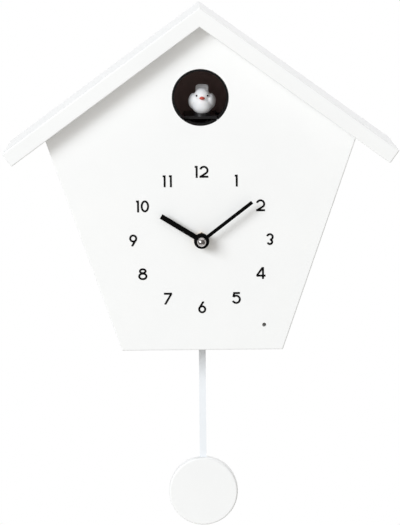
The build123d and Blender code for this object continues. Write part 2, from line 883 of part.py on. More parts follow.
def third_wheel():
    wheel = wheel_gear(third_wheel_teeth, train_module, third_at, seconds_direction, third_layer)
    pinion = pinion_gear(train_pinion_teeth, train_module, third_at, third_direction, centre_layer)
    return wheel + pinion + arbor(third_at)


def seconds_wheel():
    wheel = wheel_gear(seconds_wheel_teeth, train_module, seconds_at, idler_direction, seconds_layer)
    pinion = pinion_gear(train_pinion_teeth, train_module, seconds_at, seconds_direction, third_layer)
    return wheel + pinion + arbor(seconds_at)


def idler_wheel():
    wheel = wheel_gear(idler_wheel_teeth, idler_module, idler_at, rotor_direction, idler_layer)
    pinion = pinion_gear(train_pinion_teeth, train_module, idler_at, idler_direction, seconds_layer)
    return wheel + pinion + arbor(idler_at)


def rotor_magnet_y():
    """Rear and front of the rotor magnet, centred on the stator."""
    middle = plate_front_y + stator_layer
    return middle + rotor_magnet_length / 2, middle - rotor_magnet_length / 2


def motor_rotor():
    rear, front = rotor_magnet_y()
    pinion = pinion_gear(train_pinion_teeth, idler_module, rotor_at, rotor_direction, idler_layer)
    return pinion + disc(rotor_at, rotor_magnet_radius, rear, front) + arbor(rotor_at)


def stator_y():
    """Rear and front of the stator plate."""
    middle = sum(rotor_magnet_y()) / 2
    return middle + stator_thickness / 2, middle - stator_thickness / 2


def stator_frame():
    """Half width of the stator and the height of its lower leg."""
    half = motor_coil_length / 2 + stator_leg
    return half, rotor_at[1] - stator_drop


def stator():
    rear, front = stator_y()
    half, leg_z = stator_frame()
    eye = rotor_magnet_radius + rotor_air_gap
    x = rotor_at[0]
    top_z = rotor_at[1] + eye + stator_leg / 2
    bridge_z = rotor_at[1] - eye - stator_leg / 2
    plate = block((x - half, x + half), (front, rear), (leg_z - stator_leg / 2, top_z))
    window = (leg_z + stator_leg / 2, bridge_z)
    plate -= block((x - half + stator_leg, x + half - stator_leg), (front, rear), window)
    return plate - disc(rotor_at, eye, rear, front)


def motor_coil():
    rear, front = stator_y()
    half, leg_z = stator_frame()
    middle_y = (rear + front) / 2
    left = rotor_at[0] - motor_coil_length / 2
    winding = crossbar(left, middle_y, leg_z, motor_coil_radius, motor_coil_length)
    leg = block(span(rotor_at[0], half), span(middle_y, stator_thickness / 2 + hole_slack),
                span(leg_z, stator_leg / 2 + hole_slack))
    return winding - leg


def clock_board():
    x_low = clock_board_left
    x_high = movement_width / 2 - movement_side_wall
    z_low = dial_z - movement_below_dial + movement_side_wall
    rear = plate_front_y + clock_board_thickness
    middle_z = z_low + clock_board_height / 2
    board = block((x_low, x_high), (plate_front_y, rear), (z_low, z_low + clock_board_height))
    chip_half = clock_chip_width / 2
    chip_x = span(x_low + clock_chip_width, chip_half)
    board += block(chip_x, (rear, rear + clock_chip_height), span(middle_z, chip_half))
    crystal_x = x_high - 2 * crystal_length
    return board + crossbar(crystal_x, rear + crystal_radius / 2, middle_z, crystal_radius, crystal_length)


def motion_wheel():
    wheel = wheel_gear(motion_wheel_teeth, motion_module, motion_at, pi, motion_layer)
    pinion = pinion_gear(motion_pinion_teeth, motion_module, motion_at, 0.0, hour_layer)
    wheel_rear = plate_front_y + motion_layer + wheel_thickness
    hub = disc(motion_at, clutch_arbor_radius, wheel_rear, plate_front_y + end_play)
    return wheel + pinion + hub + disc(motion_at, pivot_radius, wheel_rear, plate_front_y - pivot_length)


def setting_knob():
    stem_front = plate_front_y + motion_layer + wheel_thickness
    knob_front = back_outer_y + end_play
    knob = ribbed_knob(motion_at, setting_knob_radius, knob_front)
    return knob + disc(motion_at, setting_stem_radius, knob_front, stem_front)


def movement_walls(y_back, y_front):
    """Outer and inner box of the movement case between two depths."""
    half = movement_width / 2
    z_low, z_high = dial_z - movement_below_dial, dial_z + movement_above_dial
    wall = movement_side_wall
    outer = block((-half, half), (y_front, y_back), (z_low, z_high))
    inner = block((wall - half, half - wall), (y_front, y_back), (z_low + wall, z_high - wall))
    return outer, inner


def pivot_holes(at, y_back, y_front):
    return disc(at, pivot_radius + running_gap, y_back, y_front)


def movement_front_shell():
    outer, _ = movement_walls(shell_split_y, movement_front_y)
    _, inner = movement_walls(shell_split_y, plate_front_y)
    shell = outer - inner
    shell -= disc(dial_at, bush_radius + hole_slack, plate_front_y, movement_front_y)
    for at in pivots_at + [motion_at]:
        shell -= pivot_holes(at, plate_front_y, plate_front_y - pivot_length - end_play)
    return shell


def movement_rear_cover():
    outer, _ = movement_walls(movement_rear_y, shell_split_y)
    _, inner = movement_walls(plate_rear_y, shell_split_y)
    cover = fillet(outer.faces().sort_by(Axis.Y)[-1].edges(), movement_rear_wall / 2) - inner
    cover -= disc((0, pendulum_pivot_z), pendulum_pin_radius, movement_rear_y, plate_rear_y)
    cover -= disc(motion_at, setting_stem_radius + running_gap, movement_rear_y, plate_rear_y)
    for at in pivots_at + [dial_at]:
        cover -= pivot_holes(at, plate_rear_y + pivot_length + end_play, plate_rear_y)
    return cover


def pendulum_coil():
    at = (0, dial_z - pendulum_magnet_below_dial)
    front = plate_rear_y - pendulum_coil_length
    return ring(at, pendulum_coil_radius, pendulum_coil_bore, plate_rear_y, front)


def pendulum_pin():
    at = (0, pendulum_pivot_z)
    head_front = arm_back_y + end_play
    pin = disc(at, pendulum_pin_radius, head_front, plate_rear_y)
    return pin + disc(at, pendulum_pin_head_radius, head_front + pendulum_pin_head, head_front)


def pendulum_arm():
    half = pendulum_arm_width / 2
    magnet_at = (0, dial_z - pendulum_magnet_below_dial)
    end_z = dial_z - pendulum_arm_end_below_dial
    arm = block((-half, half), (arm_front_y, arm_back_y), (end_z, pendulum_pivot_z))
    arm += disc((0, pendulum_pivot_z), pendulum_eye_radius, arm_back_y, arm_front_y)
    arm += disc(magnet_at, pendulum_magnet_radius + pendulum_magnet_rim, arm_back_y, arm_front_y)
    arm -= disc(magnet_at, pendulum_magnet_radius, arm_back_y, arm_front_y)
    arm -= disc((0, pendulum_pivot_z), pendulum_pin_radius + running_gap, arm_back_y, arm_front_y)
    return arm + disc((0, dial_z - rod_peg_below_dial), rod_peg_radius, rod_back_y, arm_back_y)


def pendulum_magnet():
    return disc((0, dial_z - pendulum_magnet_below_dial), pendulum_magnet_radius, arm_back_y, arm_front_y)


def pendulum_rod():
    half = rod_width / 2
    rod = block((-half, half), (arm_back_y, rod_back_y), (bob_z, dial_z - rod_top_below_dial))
    return rod - disc((0, dial_z - rod_peg_below_dial), rod_peg_radius + hole_slack, rod_back_y, arm_back_y)


def pendulum_bob():
    at = (0, bob_z)
    bob = disc(at, bob_radius, rod_y + bob_thickness / 2, rod_y - bob_thickness / 2)
    bob = fillet(bob.edges().filter_by(GeomType.CIRCLE), bob_round)
    half = rod_width / 2 + hole_slack
    socket = (arm_back_y - hole_slack, rod_back_y + hole_slack)
    return bob - block((-half, half), socket, (bob_z - hole_slack, bob_z + bob_radius))


def bird_box():
    wall = bird_box_wall
    half = bird_box_half_width
    tall = bird_box_half_height
    inner_y = (bird_box_front_y, bird_box_rear_y - wall)
    box = block(span(0, half + wall), (bird_box_front_y, bird_box_rear_y), span(port_z, tall + wall))
    box -= block(span(0, half), inner_y, span(port_z, tall))
    ear_rear = panel_back_y + bird_box_ear_thickness
    for x, z in ear_screw_places():
        box += block(span(x, bird_box_ear / 2), (panel_back_y, ear_rear), span(z, bird_box_ear_height / 2))
        box -= disc((x, z), ear_screw_radius + hole_slack, ear_rear, panel_back_y)
    guide_out = runner_spread - runner_width / 2 - guide_gap
    guide_z = (bird_floor_z, bird_floor_z + guide_height)
    box += both_sides(block((guide_out - guide_width, guide_out), inner_y, guide_z))
    shaft_hole = bird_shaft_radius + running_gap
    return box - pillar(bird_pinion_x, bird_pinion_y, shaft_hole, bird_floor_z - wall, bird_floor_z)


def bird_box_screws():
    head_front = panel_back_y + bird_box_ear_thickness
    tip = panel_back_y - ear_screw_depth + end_play
    solids = []
    for at in ear_screw_places():
        head = disc(at, ear_screw_head_radius, head_front + screw_head_height, head_front)
        solids.append(head + disc(at, ear_screw_radius, head_front, tip))
    return solids


def rack_teeth():
    """Cutter for the spaces between rack teeth, a tooth standing opposite the pinion."""
    pitch = pi * rack_module
    tip_x = deck_width / 2
    root_x = tip_x - (addendum + dedendum) * rack_module
    tooth_at_pitch = pitch / 2 - tooth_thinning

    def space_half(x):
        return (pitch - tooth_at_pitch) / 2 + (x - rack_pitch_x) * tan(pressure_angle)

    count = int((bird_travel / 2 + 2 * pitch) / pitch)
    middle_y = bird_pinion_y + bird_travel / 2
    middle_tooth = round((middle_y - bird_pinion_y) / pitch)
    spaces = []
    for index in range(middle_tooth - count, middle_tooth + count):
        y = bird_pinion_y + (index + 0.5) * pitch
        if y - space_half(tip_x) < deck_rear_y:
            corners = [(root_x, y - space_half(root_x)), (tip_x, y - space_half(tip_x))]
            corners += [(tip_x, y + space_half(tip_x)), (root_x, y + space_half(root_x))]
            spaces.append(make_face(Polyline(*corners, close=True)))
    return extrude(Plane.XY.offset(deck_low_z) * Sketch(children=spaces), amount=deck_thickness)


def bird_carriage():
    half = deck_width / 2
    deck = block((-half, half), (deck_front_y, deck_rear_y), (deck_low_z, deck_top_z))
    deck -= rack_teeth()
    runner = block((runner_spread - runner_width / 2, runner_spread + runner_width / 2),
                   (deck_rear_y - runner_length, deck_rear_y), (bird_floor_z + runner_lift, deck_low_z))
    for piece in both_sides(runner):
        deck += piece
    return deck + pillar(bird_x, bird_y, pedestal_radius, deck_top_z, bird_z)


def bird_pinion():
    z_low = (deck_low_z + deck_top_z - bird_pinion_thickness) / 2
    upright = gear(bird_pinion_teeth, rack_module, (0, 0), gap_direction(bird_pinion_teeth, 0.0), 0.0,
                   -bird_pinion_thickness)
    wheel = Pos(bird_pinion_x, bird_pinion_y, z_low) * Rot(-90, 0, 0) * upright
    shaft_low = bird_floor_z - bird_box_wall - end_play
    return wheel + pillar(bird_pinion_x, bird_pinion_y, bird_shaft_radius, shaft_low, z_low)


def bird_gearmotor():
    top = bird_floor_z - bird_box_wall
    footprint = (span(bird_pinion_x, gearbox_width / 2), span(bird_pinion_y, gearbox_breadth / 2))
    gearbox = block(*footprint, (top - gearbox_height, top))
    shaft_hole = bird_shaft_radius + running_gap
    gearbox -= pillar(bird_pinion_x, bird_pinion_y, shaft_hole, top - 2 * end_play, top)
    low = top - gearbox_height - bird_motor_length
    return gearbox + pillar(bird_pinion_x, bird_pinion_y, bird_motor_radius, low, top - gearbox_height)


def bird_shape():
    """Body, head, wings and raised tail of the bird as one moulded figure."""
    body = egg(bird_width, bird_length, bird_x, bird_y + body_back, bird_z + bird_waist)
    body += Pos(bird_x, bird_y - head_forward, bird_z + head_height) * Sphere(head_radius)
    for side in (-1, 1):
        body += wing(side)
    tail_x = span(bird_x, tail_width / 2)
    tail_y = (bird_y + tail_back - tail_thickness, bird_y + tail_back)
    tail = block(tail_x, tail_y, (bird_z + bird_waist, bird_z + tail_height))
    tail += block(tail_x, (bird_y, tail_y[1]), (bird_z + bird_waist, bird_z + bird_waist + tail_thickness))
    return body + tail


def bird_body():
    below = block(span(bird_x, bird_width), span(bird_y, bird_length), (bird_z - bird_width, bird_z))
    return bird_shape() - below - beak_cone() - eye_balls()


def head_front_y():
    return bird_y - head_forward - head_radius


def beak_cone():
    """Short pointed beak, its root set into the head."""
    length = beak_length + beak_root
    origin = (bird_x, head_front_y() + beak_root, bird_z + beak_height)
    seat = Plane(origin=origin, x_dir=(1, 0, 0), z_dir=(0, -1, 0))
    return seat * Pos(0, 0, length / 2) * Cone(beak_radius, beak_tip_radius, length)


def eye_balls():
    """Two round eyes set into the head."""
    depth = (head_radius ** 2 - eye_spread ** 2 - (eye_height - head_height) ** 2) ** 0.5
    y = bird_y - head_forward - depth
    places = [Pos(bird_x + side * eye_spread, y, bird_z + eye_height) for side in (-1, 1)]
    return Part() + [place * Sphere(eye_radius) for place in places]


def bird_eyes():
    return eye_balls().solids()


def speaker_frame():
    rim_front = speaker_rim
    basket_front = speaker_rim + speaker_basket_depth
    magnet_front = basket_front + speaker_magnet_depth
    mouth = speaker_cone_radius + 2 * end_play
    core = speaker_magnet_radius
    basket_rear = basket_front - speaker_wall
    outline = [(mouth, 0), (speaker_radius, 0), (speaker_radius, rim_front)]
    outline += [(mouth + speaker_wall, rim_front), (core + speaker_wall, basket_front)]
    outline += [(core, basket_front), (core, magnet_front), (0, magnet_front)]
    outline += [(0, basket_rear), (core, basket_rear), (mouth, rim_front)]
    return turned(outline, (speaker_x, speaker_z), back_inner_y)


def speaker_cone():
    throat = speaker_magnet_radius - 3 * speaker_wall
    deep = speaker_rim + speaker_basket_depth - speaker_wall - end_play
    skin = speaker_cone_skin
    outline = [(0, deep - speaker_cap_rise - skin), (throat, deep - skin), (speaker_cone_radius, skin)]
    outline += [(speaker_cone_radius, 2 * skin), (throat, deep), (0, deep - speaker_cap_rise)]
    return turned(outline, (speaker_x, speaker_z), back_inner_y)


def cell_places():
    return [tray_x + cell_pitch * (index - (cell_count - 1) / 2) for index in range(cell_count)]


def tray_depth():
    return 2 * (cell_radius + cell_slack)


def battery_tray():
    wall = tray_wall
    half, tall = tray_width / 2, tray_length / 2
    front = back_inner_y - tray_depth() - wall
    tray = block(span(tray_x, half + wall), (front, back_inner_y), span(tray_z, tall + wall))
    rim_y = (back_inner_y - wall, back_inner_y)
    tray += block(span(tray_x, half + tray_rim), rim_y, span(tray_z, tall + tray_rim))
    return tray - block(span(tray_x, half), (front + wall, back_inner_y), span(tray_z, tall))


def battery_cells():
    y = back_inner_y - tray_depth() / 2
    low = tray_z - (cell_length + cell_nub_length) / 2
    solids = []
    for index, x in enumerate(cell_places()):
        can = pillar(x, y, cell_radius, low, low + cell_length)
        can = fillet(can.edges().filter_by(GeomType.CIRCLE), cell_round)
        cell = can + pillar(x, y, cell_nub_radius, low + cell_length, low + cell_length + cell_nub_length)
        if index % 2:
            cell = Pos(x, y, tray_z) * Rot(180, 0, 0) * Pos(-x, -y, -tray_z) * cell
        solids.append(cell)
    return solids


def battery_contacts():
    y = back_inner_y - tray_depth() / 2
    tall = tray_length / 2
    half = contact_width / 2
    solids = []
    for x in cell_places():
        for z in (tray_z - tall, tray_z + tall - contact_thickness):
            solids.append(block(span(x, half), span(y, half), (z, z + contact_thickness)))
    return solids


def battery_door():
    half, tall = tray_width / 2, tray_length / 2
    face = back_outer_y + end_play / 2
    rear = face + door_thickness
    door = block(span(tray_x, half + door_overlap), (face, rear), span(tray_z, tall + door_overlap))
    door = fillet(door.faces().sort_by(Axis.Y)[-1].edges(), door_round)
    lip_y = (back_outer_y - door_lip_depth, face)
    inset = door_gap + door_lip
    door += block(span(tray_x, half - door_gap), lip_y, span(tray_z, tall - door_gap))
    door -= block(span(tray_x, half - inset), lip_y, span(tray_z, tall - inset))
    for index in range(door_grip_count):
        z = tray_z + tall - door_grip_pitch * (index + 1)
        grip_y = (rear, rear + door_grip_height)
        door += block(span(tray_x, door_grip_width / 2), grip_y, span(z, door_grip_height))
    return door


def main_board():
    zs = (dial_z - board_low_below_dial, dial_z - board_high_below_dial)
    board = block(span(0, board_width / 2), (board_front_y, board_rear_y), zs)
    for at in standoff_places():
        board -= disc(at, screw_radius, board_rear_y, board_front_y)
    body = volume_body / 2
    pot_rear = back_inner_y - end_play
    board += block(span(volume_x, body), (board_rear_y, pot_rear), span(control_z, body))
    board -= disc((volume_x, control_z), volume_shaft_radius + running_gap, pot_rear, board_rear_y)
    switch_y = (board_rear_y, board_rear_y + switch_height)
    board += block(span(button_x, switch_size / 2), switch_y, span(control_z, switch_size / 2))
    chip_y = (board_front_y - sound_chip_height, board_front_y)
    return board + block(span(0, sound_chip_width / 2), chip_y, span(control_z, sound_chip_width / 2))


def board_standoffs():
    solids = []
    for at in standoff_places():
        post = disc(at, standoff_radius, back_inner_y, board_rear_y)
        solids.append(post + disc(at, screw_radius, board_rear_y, board_front_y - end_play))
    return solids


def ribbed_knob(at, radius, front):
    """Round knob on the back panel, with ribs round its edge."""
    rear = front + setting_knob_height
    knob = disc(at, radius, rear, front)
    for index in range(knob_ribs):
        knob -= disc(polar(at, radius, 2 * pi * index / knob_ribs), knob_groove_radius, rear, front)
    return knob


def volume_knob():
    at = (volume_x, control_z)
    front = back_outer_y + end_play
    rear = front + setting_knob_height
    knob = ribbed_knob(at, volume_knob_radius, front)
    mark_z = (control_z + volume_knob_radius / 4, control_z + volume_knob_radius)
    knob -= block(span(volume_x, knob_groove_radius), (rear - knob_groove_radius, rear), mark_z)
    return knob + disc(at, volume_shaft_radius, front, board_rear_y + end_play)


def test_button():
    at = (button_x, control_z)
    cap = disc(at, button_radius, back_outer_y + button_standout, back_outer_y - button_inset)
    return fillet(cap.edges().sort_by(Axis.Y)[-1], button_round)


pieces = {
    "front_panel": front_panel(),
    "left_side_board": side_boards()[1],
    "right_side_board": side_boards()[0],
    "base_board": base_board_piece(),
    "left_roof_board": roof_boards()[1],
    "right_roof_board": roof_boards()[0],
    "back_panel": back_panel(),
    "back_panel_screws": back_panel_screws(),
    "back_panel_cleats": back_panel_cleats(),
    "hanger_block": hanger_block(),
    "hanger_plate": hanger_plate(),
    "hanger_screws": hanger_screws(),
    "dial_numerals": dial_numerals(),
    "light_sensor": light_sensor(),
    "port_sleeve": port_sleeve(),
    "hour_hand": hour_hand(),
    "minute_hand": minute_hand(),
    "cap_nut": cap_nut(),
    "fixing_nut": fixing_nut(),
    "rubber_gasket": rubber_gasket(),
    "threaded_bush": threaded_bush(),
    "movement_front_shell": movement_front_shell(),
    "movement_rear_cover": movement_rear_cover(),
    "hour_wheel": hour_wheel(),
    "minute_arbor": minute_arbor(),
    "friction_washer": friction_washer(),
    "centre_wheel": centre_wheel(),
    "third_wheel": third_wheel(),
    "seconds_wheel": seconds_wheel(),
    "idler_wheel": idler_wheel(),
    "motor_rotor": motor_rotor(),
    "motor_stator": stator(),
    "motor_coil": motor_coil(),
    "clock_board": clock_board(),
    "motion_wheel": motion_wheel(),
    "setting_knob": setting_knob(),
    "pendulum_coil": pendulum_coil(),
    "pendulum_pin": pendulum_pin(),
    "pendulum_arm": pendulum_arm(),
    "pendulum_magnet": pendulum_magnet(),
    "pendulum_rod": pendulum_rod(),
    "pendulum_bob": pendulum_bob(),
    "bird_box": bird_box(),
    "bird_box_screws": bird_box_screws(),
    "bird_carriage": bird_carriage(),
    "bird_pinion": bird_pinion(),
    "bird_gearmotor": bird_gearmotor(),
    "bird_body": bird_body(),
    "bird_beak": beak_cone(),
    "bird_eyes": bird_eyes(),
    "speaker_frame": speaker_frame(),
    "speaker_cone": speaker_cone(),
    "battery_tray": battery_tray(),
    "battery_cells": battery_cells(),
    "battery_contacts": battery_contacts(),
    "battery_door": battery_door(),
    "main_board": main_board(),
    "board_standoffs": board_standoffs(),
    "volume_knob": volume_knob(),
    "test_button": test_button(),
}

os.makedirs("parts", exist_ok=True)
for name, piece in pieces.items():
    solids = piece if isinstance(piece, list) else [piece]
    export_step(Compound(children=solids), f"parts/{name}.step")
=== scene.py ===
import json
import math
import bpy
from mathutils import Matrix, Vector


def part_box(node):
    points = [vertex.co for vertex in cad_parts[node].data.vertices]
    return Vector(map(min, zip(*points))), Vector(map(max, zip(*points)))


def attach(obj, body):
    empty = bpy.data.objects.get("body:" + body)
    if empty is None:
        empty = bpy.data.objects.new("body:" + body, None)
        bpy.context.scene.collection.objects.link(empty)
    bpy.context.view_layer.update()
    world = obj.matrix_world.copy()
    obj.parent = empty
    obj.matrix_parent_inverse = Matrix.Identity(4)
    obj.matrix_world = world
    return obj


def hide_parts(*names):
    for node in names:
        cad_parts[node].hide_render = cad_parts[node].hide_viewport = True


bl_info = {
    "name": "House cuckoo clock",
    "version": (1, 0, 0),
    "blender": (4, 5, 0),
    "location": "3D View > Sidebar > Clock",
    "description": "Finishes a house-shaped wall clock with a bird and a pendulum",
    "category": "Object",
}

import bmesh
import bpy
from bpy.props import FloatProperty, FloatVectorProperty, IntProperty, PointerProperty
from mathutils import Matrix, Vector

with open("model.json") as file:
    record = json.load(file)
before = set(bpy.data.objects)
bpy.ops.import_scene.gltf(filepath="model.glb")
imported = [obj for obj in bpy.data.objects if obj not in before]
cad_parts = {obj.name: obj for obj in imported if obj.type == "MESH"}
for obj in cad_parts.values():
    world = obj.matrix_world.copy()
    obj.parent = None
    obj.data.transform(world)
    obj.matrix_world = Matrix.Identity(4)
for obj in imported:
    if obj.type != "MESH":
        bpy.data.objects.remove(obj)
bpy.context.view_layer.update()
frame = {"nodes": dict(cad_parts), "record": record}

MM = 0.001
WELD = 1e-6
SORT_DECIMALS = 5
SHARP_ANGLE = math.radians(35)
# A wave texture at scale 1 repeats after this length.
WAVE_REPEAT = 2 * math.pi / 20
SLOT_OF_NODE = {row["node"]: row["material_slot"] for row in frame["record"]["subparts"]}


def colour(name, note, default):
    """Colour setting of a finish or a light."""
    return FloatVectorProperty(
        name=name, description=note, default=default, subtype="COLOR", min=0.0, max=1.0)


def length(name, note, default):
    """Length setting in metres."""
    return FloatProperty(name=name, description=note, default=default, unit="LENGTH", precision=5)


def angle(name, note, degrees):
    """Angle setting."""
    return FloatProperty(name=name, description=note, default=math.radians(degrees), subtype="ANGLE")


def power(name, note, watts):
    """Power setting of a light."""
    return FloatProperty(name=name, description=note, default=watts, unit="POWER")


def number(name, note, default):
    """Setting without a unit."""
    return FloatProperty(name=name, description=note, default=default)


class ClockCaseLook(bpy.types.PropertyGroup):
    """Finishes of the boards and the dial."""

    lacquer: colour("Lacquer", "White of the boards", (0.93, 0.93, 0.925))
    lacquer_shade: colour("Lacquer shade", "Slightly duller white that clouds it", (0.905, 0.906, 0.905))
    peel_size: length("Peel size", "Width of the lacquer's fine ripples", 0.0018)
    peel_depth: length("Peel depth", "Height of the lacquer's fine ripples", 0.000006)
    rod: colour("Rod", "Cool white of the pendulum's rod", (0.87, 0.895, 0.925))
    rod_shade: colour("Rod shade", "Duller white that clouds it", (0.845, 0.872, 0.907))
    ink: colour("Ink", "Black of the numerals", (0.0018, 0.0018, 0.0018))
    hand: colour("Hands", "Black of the hands", (0.0012, 0.0012, 0.0012))
    hardboard: colour("Back board", "White face of the back board", (0.82, 0.82, 0.8))
    hardboard_core: colour("Back board core", "Brown fibres at its edges", (0.3, 0.19, 0.11))
    cells: IntProperty(name="Cells", description="Cells side by side in the tray", default=3, min=1)


class ClockBirdLook(bpy.types.PropertyGroup):
    """Skin and finishes of the bird and its house."""

    plumage: colour("Plumage", "White of the bird", (0.83, 0.83, 0.85))
    bill: colour("Bill", "Red of the bill", (0.72, 0.085, 0.05))
    lining: colour("Lining", "Dark brown of the bird's house", (0.37, 0.26, 0.245))
    skin_step: length("Skin step", "Spacing of the bird's skin mesh", 0.00028)
    soften: IntProperty(name="Soften", description="Rounds of smoothing", default=24, min=0, max=40)


class ClockScrewLook(bpy.types.PropertyGroup):
    """Shape of the cross-recessed screws."""

    recess_reach: number("Recess reach", "Recess length over head diameter", 0.56)
    recess_width: length("Recess width", "Width of each arm of the recess", 0.0008)
    recess_depth: length("Recess depth", "Depth of the recess", 0.0009)
    dome: length("Dome", "Crown height of a pan head", 0.0005)
    seed: IntProperty(name="Seed", description="Start of the random turn of each screw", default=4)


class ClockStageLook(bpy.types.PropertyGroup):
    """Camera, light and floor."""

    lens: FloatProperty(name="Lens", description="Focal length", default=194.3, unit="CAMERA")
    aim_side: length("Aim aside", "Point the camera looks at, right of the hanger", -0.001119)
    aim_height: length("Aim height", "Point the camera looks at, above the hanger", -0.119555)
    distance: length("Camera distance", "From the point it looks at", 1.8015)
    turn: angle("Camera turn", "To the right of straight ahead", -0.305)
    rise: angle("Camera rise", "Above the horizon", 7.895)
    roll: angle("Camera roll", "Lean of the frame", -0.523)
    key_power: power("Key power", "Power of the soft key light", 176.0)
    key_turn: angle("Key turn", "To the left of straight ahead", 40.1)
    key_rise: angle("Key rise", "Above the horizon", 20.4)
    key_size: length("Key size", "Side of the soft box", 2.19)
    key_tint: colour("Key tint", "Slightly cool white", (0.945, 0.975, 1.0))
    top_power: power("Top power", "Power of the top light", 120.0)
    top_turn: angle("Top turn", "To the left of straight ahead", -140.0)
    top_rise: angle("Top rise", "Above the horizon", 50.0)
    top_size: length("Top size", "Side of the top light", 1.88)
    light_distance: length("Light distance", "From the dial to each light", 5.0)
    sky_side: number("Sky at the sides", "Even light from all round", 0.22)
    sky_front: number("Sky in front", "More light from ahead and behind", 0.74)
    sky_above: colour("Sky above", "Tint of the light from above", (0.97, 0.98, 1.0))
    sky_below: colour("Sky below", "Tint of the light from below", (1.0, 0.962, 0.88))
    curtain_distance: length("Curtain distance", "Grey curtain in front, from the dial", 6.5)
    curtain_low: angle("Curtain foot", "Below the horizon", 50.0)
    curtain_high: angle("Curtain head", "Above the horizon", 66.0)
    curtain_half: angle("Curtain half width", "To either side of straight ahead", 105.0)
    curtain: colour("Curtain", "Grey curtain", (0.15, 0.138, 0.13))
    floor_drop: length("Floor drop", "Floor below the hanger", 1.9)
    floor_radius: length("Floor radius", "Half width of the floor", 1.2)
    floor: colour("Floor", "Pale floor", (0.8, 0.8, 0.79))


class Nodes:
    """A node tree with short ways to add and link nodes."""

    def __init__(self, tree):
        self.tree = tree

    def feed(self, socket, value):
        """Links a node's output to a socket, or sets a plain value on it."""
        if isinstance(value, bpy.types.NodeSocket):
            self.tree.links.new(value, socket)
        elif socket.type == "RGBA" and len(value) == 3:
            socket.default_value = (*value, 1.0)
        else:
            socket.default_value = value

    def add(self, kind, inputs, **settings):
        """A new node, its settings made before its inputs are fed."""
        made = self.tree.nodes.new(kind)
        for name, value in settings.items():
            setattr(made, name, value)
        for name, value in inputs.items():
            self.feed(made.inputs[name], value)
        return made

    def sum(self, operation, first, second):
        """One step of arithmetic on two numbers."""
        return self.add("ShaderNodeMath", {0: first, 1: second}, operation=operation).outputs[0]

    def span(self, factor, low, high, start=0.3, stop=0.7):
        """Numbers from low to high over the middle of a texture."""
        inputs = {"Value": factor, "From Min": start, "From Max": stop, "To Min": low, "To Max": high}
        return self.add("ShaderNodeMapRange", inputs).outputs["Result"]

    def tint(self, factor, first, second):
        """Colours from the first to the second over a texture."""
        return self.add("ShaderNodeMix", {0: factor, 6: first, 7: second}, data_type="RGBA").outputs[2]


class Finish(Nodes):
    """A material under construction; sizes and depths are in metres."""

    def __init__(self, name="finish", **sockets):
        self.material = bpy.data.materials.new(name)
        self.material.use_nodes = True
        super().__init__(self.material.node_tree)
        self.shader = self.tree.nodes["Principled BSDF"]
        self.place = self.tree.nodes.new("ShaderNodeTexCoord").outputs["Object"]
        for socket, value in sockets.items():
            self.feed(self.shader.inputs[socket.replace("_", " ")], value)

    def at(self, centre=(0, 0, 0), turn=(0, 0, 0), stretch=(1, 1, 1)):
        """Object coordinates about a centre, turned and stretched."""
        moved = self.add("ShaderNodeVectorMath", {0: self.place, 1: centre}, operation="SUBTRACT").outputs[0]
        return self.add("ShaderNodeMapping", {"Vector": moved, "Rotation": turn, "Scale": stretch}).outputs[0]

    def noise(self, size, detail=2.0, place=None):
        """Cloudy texture whose patches are about one size across."""
        inputs = {"Vector": place or self.place, "Scale": 1 / size, "Detail": detail}
        return self.add("ShaderNodeTexNoise", inputs).outputs["Fac"]

    def wave(self, size, place, kind="BANDS", axis="X", waver=0.0):
        """Parallel or round lines, one size apart."""
        inputs = {"Vector": place, "Scale": WAVE_REPEAT / size, "Distortion": waver}
        inputs.update({"Detail": 2.0, "Detail Scale": 1.5})
        along = {"bands_direction": axis} if kind == "BANDS" else {"rings_direction": axis}
        return self.add("ShaderNodeTexWave", inputs, wave_type=kind, **along).outputs["Fac"]

    def across(self, axis):
        """How far a face looks along an axis, either way."""
        normal = self.tree.nodes.new("ShaderNodeNewGeometry").outputs["Normal"]
        split = self.add("ShaderNodeSeparateXYZ", {0: normal})
        return self.add("ShaderNodeMath", {0: split.outputs[axis]}, operation="ABSOLUTE").outputs[0]

    def bump(self, *layers):
        """Relief from pairs of height texture and depth."""
        normal = None
        for height, depth in layers:
            inputs = {"Height": height, "Distance": depth, "Strength": 1.0}
            if normal is not None:
                inputs["Normal"] = normal
            normal = self.add("ShaderNodeBump", inputs).outputs["Normal"]
        self.feed(self.shader.inputs["Normal"], normal)

    def colours(self, texture, first, second):
        """Surface colour from the first to the second over a texture."""
        self.feed(self.shader.inputs["Base Color"], self.tint(texture, first, second))

    def gloss(self, texture, smooth, rough):
        """Roughness from smooth to rough over a texture."""
        self.feed(self.shader.inputs["Roughness"], self.span(texture, smooth, rough))


def shade(tone, share):
    """A colour made darker or lighter."""
    return [min(1.0, share * c) for c in tone]


def white_lacquer(look):
    """Sprayed satin lacquer: even white, faint clouds, orange-peel ripple."""
    made = Finish(Coat_Weight=0.12, Coat_Roughness=0.25)
    clouds = made.span(made.noise(0.07, detail=3.0), 0.0, 1.0)
    made.colours(clouds, look.lacquer_shade, look.lacquer)
    made.gloss(made.noise(0.012, detail=3.0), smooth=0.4, rough=0.5)
    ripple = made.noise(look.peel_size, detail=1.0)
    swell = made.noise(0.02, detail=1.0)
    made.bump((ripple, look.peel_depth), (swell, 0.00002))
    return made.material


def white_metal(look):
    """Stoved white paint on a flat metal rod."""
    made = Finish(Coat_Weight=0.2, Coat_Roughness=0.2)
    made.colours(made.noise(0.03), look.rod_shade, look.rod)
    made.gloss(made.noise(0.004, detail=3.0), smooth=0.3, rough=0.4)
    made.bump((made.noise(0.0007), 0.000004))
    return made.material


